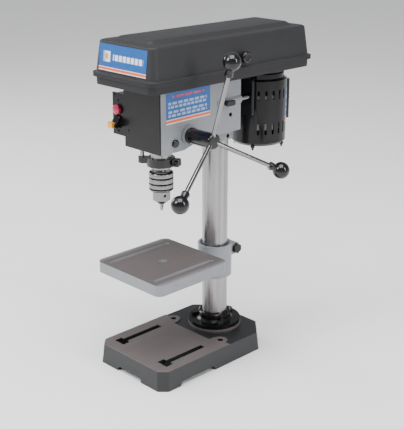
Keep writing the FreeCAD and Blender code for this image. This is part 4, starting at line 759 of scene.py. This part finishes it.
class DRILLPRESS_OT_round_parts(bpy.types.Operator):
    """Make the turned parts that a hand or an eye meets: feed boss, stop button and the lid's handle"""

    bl_idname = "drillpress.round_parts"
    bl_label = "Turned parts"

    def execute(self, context):
        self.feed_boss()
        self.stop_button()
        self.lid_handle()
        return {"FINISHED"}

    def feed_boss(self):
        """A collar against the head, then a plain grip with a rounded nose."""
        low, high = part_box("feed_hub")
        radius = (high.z - low.z) / 2
        length = high.x - low.x
        profile = eased(
            [(POLE_RADIUS, 0), (radius, 0), (radius, 5 * MM), (radius - 0.8 * MM, 5 * MM),
             (radius - 0.8 * MM, length), (POLE_RADIUS, length)],
            [1.0 * MM, 0.5 * MM, 0.3 * MM, 3.2 * MM])
        boss = piece_from("feed_boss", [turned(profile, (low.x, FEED_Y, FEED_Z), (1, 0, 0), 96)])
        set_up(boss, "feed", "black_plastic", "feed_hub")

    def stop_button(self):
        """A domed cap on a narrower stem, pointing forwards."""
        low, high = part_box("stop_button")
        radius = (high.x - low.x) / 2
        stem = radius - 1.5 * MM
        depth = high.y - low.y
        collar = depth - 3.7 * MM
        profile = eased(
            [(POLE_RADIUS, 0), (stem, 0), (stem, collar), (radius, collar), (radius, depth - 1.4 * MM),
             (0.5 * radius, depth), (POLE_RADIUS, depth)],
            [0.5 * MM, 0.4 * MM, 0.4 * MM, 1.4 * MM, 2.5 * MM])
        foot = ((low.x + high.x) / 2, high.y, (low.z + high.z) / 2)
        cap = piece_from("stop_cap", [turned(profile, foot, (0, -1, 0))])
        set_up(cap, "button", "red_plastic", "stop_button")

    def lid_handle(self):
        """A fluted disc with a dished face, on a stepped stem."""
        low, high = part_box("lid_knob")
        radius = (high.z - low.z) / 2
        stem = 2.5 * MM
        length = high.x - low.x
        grip = length - 12 * MM
        profile = eased(
            [(POLE_RADIUS, 0), (stem, 0), (stem, 5 * MM), (stem + 2 * MM, 5 * MM), (stem + 2 * MM, grip),
             (radius - 1 * MM, grip), (radius, grip + 2.5 * MM), (radius, length - 2 * MM),
             (radius - 2.5 * MM, length), (radius - 3.5 * MM, length - 0.8 * MM),
             (POLE_RADIUS, length - 0.8 * MM)],
            [0.3 * MM, 0.3 * MM, 0.3 * MM, 1 * MM, 1 * MM, 1.5 * MM, 1.5 * MM, 1 * MM, 0.4 * MM])
        grip_start = grip + 1.5 * MM
        grip_end = length - 1.5 * MM

        def flutes(angle, height):
            """Twelve shallow hollows round the grip, as a share of the radius."""
            after_start = np.clip((height - grip_start) / (1 * MM), 0, 1)
            before_end = np.clip((grip_end - height) / (1 * MM), 0, 1)
            return 1 - 0.05 * after_start * before_end * np.clip(np.cos(12 * angle), 0, 1)

        foot = (low.x, (low.y + high.y) / 2, (low.z + high.z) / 2)
        handle = piece_from("lid_handle", [turned(profile, foot, (1, 0, 0), 96, flutes)])
        set_up(handle, "lid", "black_plastic", "lid_knob")


class DRILLPRESS_OT_chuck(bpy.types.Operator):
    """Make the chuck's turned sleeve, with painted shade in its ring grooves"""

    bl_idname = "drillpress.chuck"
    bl_label = "Chuck sleeve"

    def execute(self, context):
        low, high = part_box("chuck_sleeve")
        outer = (high.x - low.x) / 2
        height = high.z - low.z
        mouth = outer - 3.6 * MM
        deep = outer - 0.9 * MM
        neck = outer - 3.7 * MM
        chamfer = 1.6 * MM
        inner = outer - chamfer
        corners = [(mouth, 0), (outer - 2 * MM, 0), (outer, 2 * MM)]
        radii = [0.4 * MM, 0.8 * MM]
        for middle in (4.4 * MM, 13.4 * MM, 23.4 * MM):
            corners += [(outer, middle - 1.5 * MM), (deep, middle - 1.0 * MM)]
            corners += [(deep, middle + 1.0 * MM), (outer, middle + 1.5 * MM)]
            radii += [0.2 * MM] * 4
        corners += [(outer, height - chamfer), (inner, height), (neck, height), (neck, height - 13 * MM),
                    (inner, height - 15 * MM), (inner, 5 * MM), (mouth, 3 * MM)]
        radii += [0.8 * MM, 0.8 * MM, 0.3 * MM, 0.3 * MM, 0.3 * MM, 0.3 * MM]
        profile = eased(corners, radii, 4)
        ring = ring_turned(profile, (0, SPINDLE_Y, low.z), count=120)
        sleeve = piece_from("chuck_ring", [ring], math.radians(30))
        set_up(sleeve, "sleeve", "chrome", "chuck_sleeve")
        sleeve.data.materials[0] = self.grooved_chrome(deep + 0.25 * MM)
        return {"FINISHED"}

    def grooved_chrome(self, groove_radius):
        """Polished steel with painted shade: near black, and rougher, wherever it lies inside the grooves'
        radius.
        """
        finish = Finish("grooved_chrome", Metallic=1.0)
        across, along, _ = finish.axes()
        reach = (across * across + (along - SPINDLE_Y) * (along - SPINDLE_Y)) ** 0.5
        outside_grooves = reach.above(groove_radius, 0.2 * MM)
        smear = finish.noise(9 * MM, 3.0)
        marks = finish.noise(0.6 * MM, 2.0, 0.5, (0.05, 0.05, 1))
        steel = finish.tint(smear * 0.5 + marks * 0.5, tuple(colours().steel), 0.35, 0.8)
        # Painted shade: the colour goes near black inside the grooves.
        colour = finish.mix(outside_grooves, opaque((0.008, 0.008, 0.009)), steel)
        gloss = 0.13 + smear * 0.06 + (1.0 - outside_grooves) * 0.4
        return finish.wear(colour, gloss, finish.bump(marks, 0.01 * MM, 0.4))


# Each node that is copied with rounded edges, and the setting that gives the rounding
EASED_PARTS = (
    ("base", "cast_edge"), ("work_table", "cast_edge"), ("table_bracket", "cast_edge"),
    ("head_casting", "cast_edge"), ("column_flange", "cast_edge"), ("cover_tray", "cast_edge"),
    ("motor_upper_bell", "cast_edge"), ("motor_lower_bell", "cast_edge"), ("capacitor_cover", "cast_edge"),
    ("front_cover", "sheet_edge"), ("motor_mount", "sheet_edge"), ("switch_box", "sheet_edge"),
    ("spring_cap", "sheet_edge"), ("switch_paddle", "sheet_edge"), ("safety_key", "sheet_edge"),
    ("clamp_lever", "sheet_edge"), ("depth_collar", "sheet_edge"),
    ("tension_knob_right", "cast_edge"), ("tension_knob_left", "cast_edge"),
    ("quill_guide_screw", "sheet_edge"), ("clamp_bolt", "sheet_edge"), ("tilt_bolt", "sheet_edge"),
    ("flange_bolts", "sheet_edge"), ("motor_can", "sheet_edge"),
)


class DRILLPRESS_OT_eased_parts(bpy.types.Operator):
    """Make copies of the castings, sheets and fasteners with their edges rounded"""

    bl_idname = "drillpress.eased_parts"
    bl_label = "Rounded castings and sheets"

    def execute(self, context):
        record = frame["record"]
        slots = {part["node"]: part["material_slot"] for part in record["subparts"]}
        bodies = {node: body for body, nodes in record["behaviour"]["bodies"].items() for node in nodes}
        for node, edge in EASED_PARTS:
            self.ease(node, getattr(sizes(), edge), bodies[node], slots[node])
        return {"FINISHED"}

    def ease(self, node, edge, body, slot):
        """A copy of the node's mesh with flat faces made whole again and a live bevel on its edges."""
        mesh = frame["nodes"][node].data.copy()
        mesh.name = "eased_" + node
        shape = bmesh.new()
        shape.from_mesh(mesh)
        bmesh.ops.remove_doubles(shape, verts=shape.verts, dist=0.005 * MM)
        bmesh.ops.dissolve_limit(
            shape, angle_limit=math.radians(0.5), verts=shape.verts, edges=shape.edges, delimit={"NORMAL"})
        shape.to_mesh(mesh)
        shape.free()
        piece = bpy.data.objects.new("eased_" + node, mesh)
        bpy.context.scene.collection.objects.link(piece)
        mesh.polygons.foreach_set("use_smooth", np.ones(len(mesh.polygons), bool))
        bevel = piece.modifiers.new("edges", "BEVEL")
        bevel.width = edge
        bevel.segments = 3
        bevel.limit_method = "ANGLE"
        bevel.angle_limit = math.radians(34)
        bevel.use_clamp_overlap = True
        bevel.miter_outer = "MITER_ARC"
        weigh = piece.modifiers.new("normals", "WEIGHTED_NORMAL")
        weigh.keep_sharp = True
        set_up(piece, body, slot, node)


# Labels

def label_sheet(name, points, outward):
    """A thin sheet with a UV map: u runs across and v runs up, and each point is points(u, v).

    Its back lies on the surface and its front stands a thickness out along outward(u, v)."""
    u, v = np.meshgrid(np.linspace(0, 1, 48), np.linspace(0, 1, 9))
    back = points(u, v)
    front = back + outward(u, v) * LABEL_THICKNESS
    count = u.size
    index = np.arange(count).reshape(u.shape)
    quads = np.stack([index[:-1, :-1], index[:-1, 1:], index[1:, 1:], index[1:, :-1]], axis=-1)
    quads = quads.reshape(-1, 4)
    rim = np.concatenate([index[0, :-1], index[:-1, -1], index[-1, :0:-1], index[:0:-1, 0]])
    step = np.roll(rim, -1)
    walls = np.stack([rim + count, rim, step, step + count], axis=-1)
    faces = np.concatenate([quads + count, quads[:, ::-1], walls])
    places = np.concatenate([back.reshape(-1, 3), front.reshape(-1, 3)])
    piece = piece_from(name, [(places, faces.tolist())])
    across = np.tile(u.ravel(), 2)
    up = np.tile(v.ravel(), 2)
    corners = np.zeros(len(piece.data.loops), np.int32)
    piece.data.loops.foreach_get("vertex_index", corners)
    pairs = np.stack([across[corners], up[corners]], axis=-1)
    piece.data.uv_layers.new(name="UVMap").data.foreach_set("uv", pairs.ravel())
    return piece


class DRILLPRESS_OT_labels(bpy.types.Operator):
    """Make the three printed labels, with plain bars where a maker's lettering would be"""

    bl_idname = "drillpress.labels"
    bl_label = "Labels"

    def execute(self, context):
        self.front_label()
        self.head_label()
        self.motor_label()
        return {"FINISHED"}

    def make(self, name, points, outward, body, lines):
        """One label, printed and riding on its body."""
        c = colours()
        piece = label_sheet(name, points, outward)
        piece.data.materials.append(
            trim_label(name + "_print", tuple(c.label), tuple(c.stripe), LABEL_PAPER, lines))
        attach(piece, body)

    def front_label(self):
        """A flat sheet on the lid's leaning front wall."""
        z = sizes()
        low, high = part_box("pulley_lid")
        foot_z = PARTING_Z + LID_LIFT + z.rim
        top_z = high.z - z.panel_rise
        lean = (z.shoulder_inset - z.rim_proud) / (top_z - foot_z)
        start = PARTING_Z + 8.5 * MM
        height = 42 * MM
        half = 57.6 * MM
        slope = np.array([0, -1, lean]) / math.hypot(1, lean)

        def points(u, v):
            level = start + v * height
            y = low.y + z.rim_proud + (level - foot_z) * lean
            return np.stack([(2 * u - 1) * half, y, level], axis=-1) + slope * LABEL_GAP

        white = (0.75, 0.78, 0.82)
        lines = [(0.42, 0.64, 0.3, 0.93, 12, white), (0.34, 0.74, 0.08, 0.24, 1, white),
                 (0.44, 0.64, 0.13, 0.19, 1, (0.8, 0.12, 0.02))]
        self.make("front_label", points, lambda u, v: slope, "lid", lines)

    def head_label(self):
        """A flat sheet on the head's right side, which tapers towards the rear."""
        low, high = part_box("head_casting")
        front_half = 44 * MM
        rear_half = 36 * MM
        taper = (front_half - rear_half) / (high.y - low.y)
        slope = np.array([1, taper, 0]) / math.hypot(1, taper)
        y0 = -108 * MM
        y1 = -5 * MM
        z0 = 450.5 * MM
        z1 = 501 * MM

        def points(u, v):
            y = y0 + u * (y1 - y0)
            x = front_half - (y - low.y) * taper
            return np.stack([x, y, z0 + v * (z1 - z0)], axis=-1) + slope * LABEL_GAP

        pale = (0.3, 0.42, 0.62)
        lines = [(0.22, 0.3, 0.05, 0.92, 9, pale), (0.34, 0.42, 0.05, 0.92, 7, pale),
                 (0.5, 0.58, 0.05, 0.92, 11, pale), (0.62, 0.7, 0.05, 0.92, 8, pale),
                 (0.84, 0.9, 0.14, 0.86, 5, (0.7, 0.03, 0.03))]
        self.make("head_label", points, lambda u, v: slope, "frame", lines)

    def motor_label(self):
        """A sheet bent round the motor's can, so a point lies at its radius and an angle."""
        radius = 50 * MM
        z0 = 408 * MM
        z1 = 472 * MM
        start = math.radians(26)
        sweep = math.radians(32)

        def direction(u, v):
            angle = start + u * sweep
            return np.stack([np.cos(angle), np.sin(angle), np.zeros_like(u)], axis=-1)

        def points(u, v):
            place = direction(u, v) * (radius + 0.03 * MM)
            return place + np.stack([np.zeros_like(u), MOTOR_Y + 0 * u, z0 + v * (z1 - z0)], axis=-1)

        pale = (0.6, 0.66, 0.74)
        lines = [(0.3, 0.36, 0.1, 0.9, 6, pale), (0.46, 0.52, 0.1, 0.9, 5, pale),
                 (0.66, 0.76, 0.1, 0.9, 4, pale)]
        self.make("motor_label", points, direction, "motor", lines)


# Finishes on the CAD parts, and the stage

class DRILLPRESS_OT_finishes(bpy.types.Operator):
    """Give every CAD part the finish of its material slot"""

    bl_idname = "drillpress.finishes"
    bl_label = "Finishes"

    def execute(self, context):
        for part in frame["record"]["subparts"]:
            materials = frame["nodes"][part["node"]].data.materials
            materials.clear()
            materials.append(finish_of(part["material_slot"]))
        return {"FINISHED"}


class DRILLPRESS_OT_stage(bpy.types.Operator):
    """Make the pale floor, the soft lights and the camera"""

    bl_idname = "drillpress.stage"
    bl_label = "Stage"

    def execute(self, context):
        self.floor()
        self.lights()
        self.camera()
        return {"FINISHED"}

    def floor(self):
        """A wide sheet whose far edge curls up: past a flat middle, its height is a cube of the distance."""
        reach = 40
        x, y = np.meshgrid(np.linspace(-reach, reach, 81), np.linspace(-reach, reach, 81))
        z = 12 * np.clip(np.hypot(x, y) / reach - 0.2, 0, None) ** 3 - 0.05 * MM
        vertices, faces = mesh_from_rows(np.stack([x, y, z], axis=-1), wrap=False, caps=False)
        mesh = bpy.data.meshes.new("floor")
        mesh.from_pydata(vertices.tolist(), [], faces)
        mesh.polygons.foreach_set("use_smooth", np.ones(len(mesh.polygons), bool))
        floor = bpy.data.objects.new("floor", mesh)
        bpy.context.scene.collection.objects.link(floor)
        mesh.materials.append(studio_floor("floor_paper", (0.88, 0.88, 0.88)))

    def lights(self):
        """Four soft boxes that face the middle of the part, a wide wash from above and a dim sky."""
        world = bpy.context.scene.world or bpy.data.worlds.new("studio")
        bpy.context.scene.world = world
        world.use_nodes = True
        sky = world.node_tree.nodes["Background"]
        sky.inputs["Color"].default_value = (0.95, 0.97, 1.0, 1.0)
        sky.inputs["Strength"].default_value = 0.3
        target = Vector((0, 0, 0.32))
        for name, place, width, height, power in (
            ("key", (-0.5, -1.9, 1.9), 0.9, 1.1, 46),
            ("side", (2.2, 0.5, 1.4), 0.4, 1.6, 30),
            ("left", (-2.2, -0.4, 1.1), 0.8, 1.0, 20),
            ("top", (0.6, -0.5, 2.8), 2.0, 2.0, 90),
        ):
            data = bpy.data.lights.new(name, "AREA")
            data.shape = "RECTANGLE"
            data.size = width
            data.size_y = height
            data.energy = power
            lamp = bpy.data.objects.new(name, data)
            lamp.location = place
            lamp.rotation_euler = (target - lamp.location).to_track_quat("-Z", "Y").to_euler()
            bpy.context.scene.collection.objects.link(lamp)
        sun = bpy.data.lights.new("wash", "SUN")
        sun.energy = 1.3
        sun.angle = math.radians(70)
        wash = bpy.data.objects.new("wash", sun)
        wash.rotation_euler = (math.radians(12), math.radians(-8), 0)
        bpy.context.scene.collection.objects.link(wash)

    def camera(self):
        data = bpy.data.cameras.new("camera")
        camera = bpy.data.objects.new("camera", data)
        camera.location = (1.13556, -1.09163, 0.81479)
        heading = Vector((-0.67586, 0.65828, -0.33147))
        camera.rotation_euler = heading.to_track_quat("-Z", "Y").to_euler()
        data.lens = 78.74
        data.sensor_width = 36
        data.clip_start = 0.05
        data.clip_end = 60
        bpy.context.scene.collection.objects.link(camera)
        bpy.context.scene.camera = camera


class DRILLPRESS_PT_panel(bpy.types.Panel):
    """Lists the steps and the settings"""

    bl_idname = "DRILLPRESS_PT_panel"
    bl_label = "Drill press"
    bl_space_type = "VIEW_3D"
    bl_region_type = "UI"
    bl_category = "Drill press"

    def draw(self, context):
        """The settings in two boxes, then one button for each step."""
        settings = context.scene.drill_press
        for group in (settings.colours, settings.sizes):
            box = self.layout.box()
            for name in group.bl_rna.properties.keys():
                if name not in {"rna_type", "name"}:
                    box.prop(group, name)
        for step in STEPS:
            self.layout.operator(step.bl_idname)


STEPS = (
    DRILLPRESS_OT_stage,
    DRILLPRESS_OT_finishes,
    DRILLPRESS_OT_eased_parts,
    DRILLPRESS_OT_lid,
    DRILLPRESS_OT_feed_knobs,
    DRILLPRESS_OT_round_parts,
    DRILLPRESS_OT_chuck,
    DRILLPRESS_OT_labels,
)
CLASSES = (DrillPressColours, DrillPressSizes, DrillPressSettings) + STEPS + (DRILLPRESS_PT_panel,)


def register():
    for cls in CLASSES:
        bpy.utils.register_class(cls)
    bpy.types.Scene.drill_press = PointerProperty(type=DrillPressSettings)


def unregister():
    del bpy.types.Scene.drill_press
    for cls in reversed(CLASSES):
        bpy.utils.unregister_class(cls)


def main():
    """Registers the add-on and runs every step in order."""
    register()
    for step in STEPS:
        group, name = step.bl_idname.split(".")
        getattr(getattr(bpy.ops, group), name)()


if __name__ == "__main__":
    main()
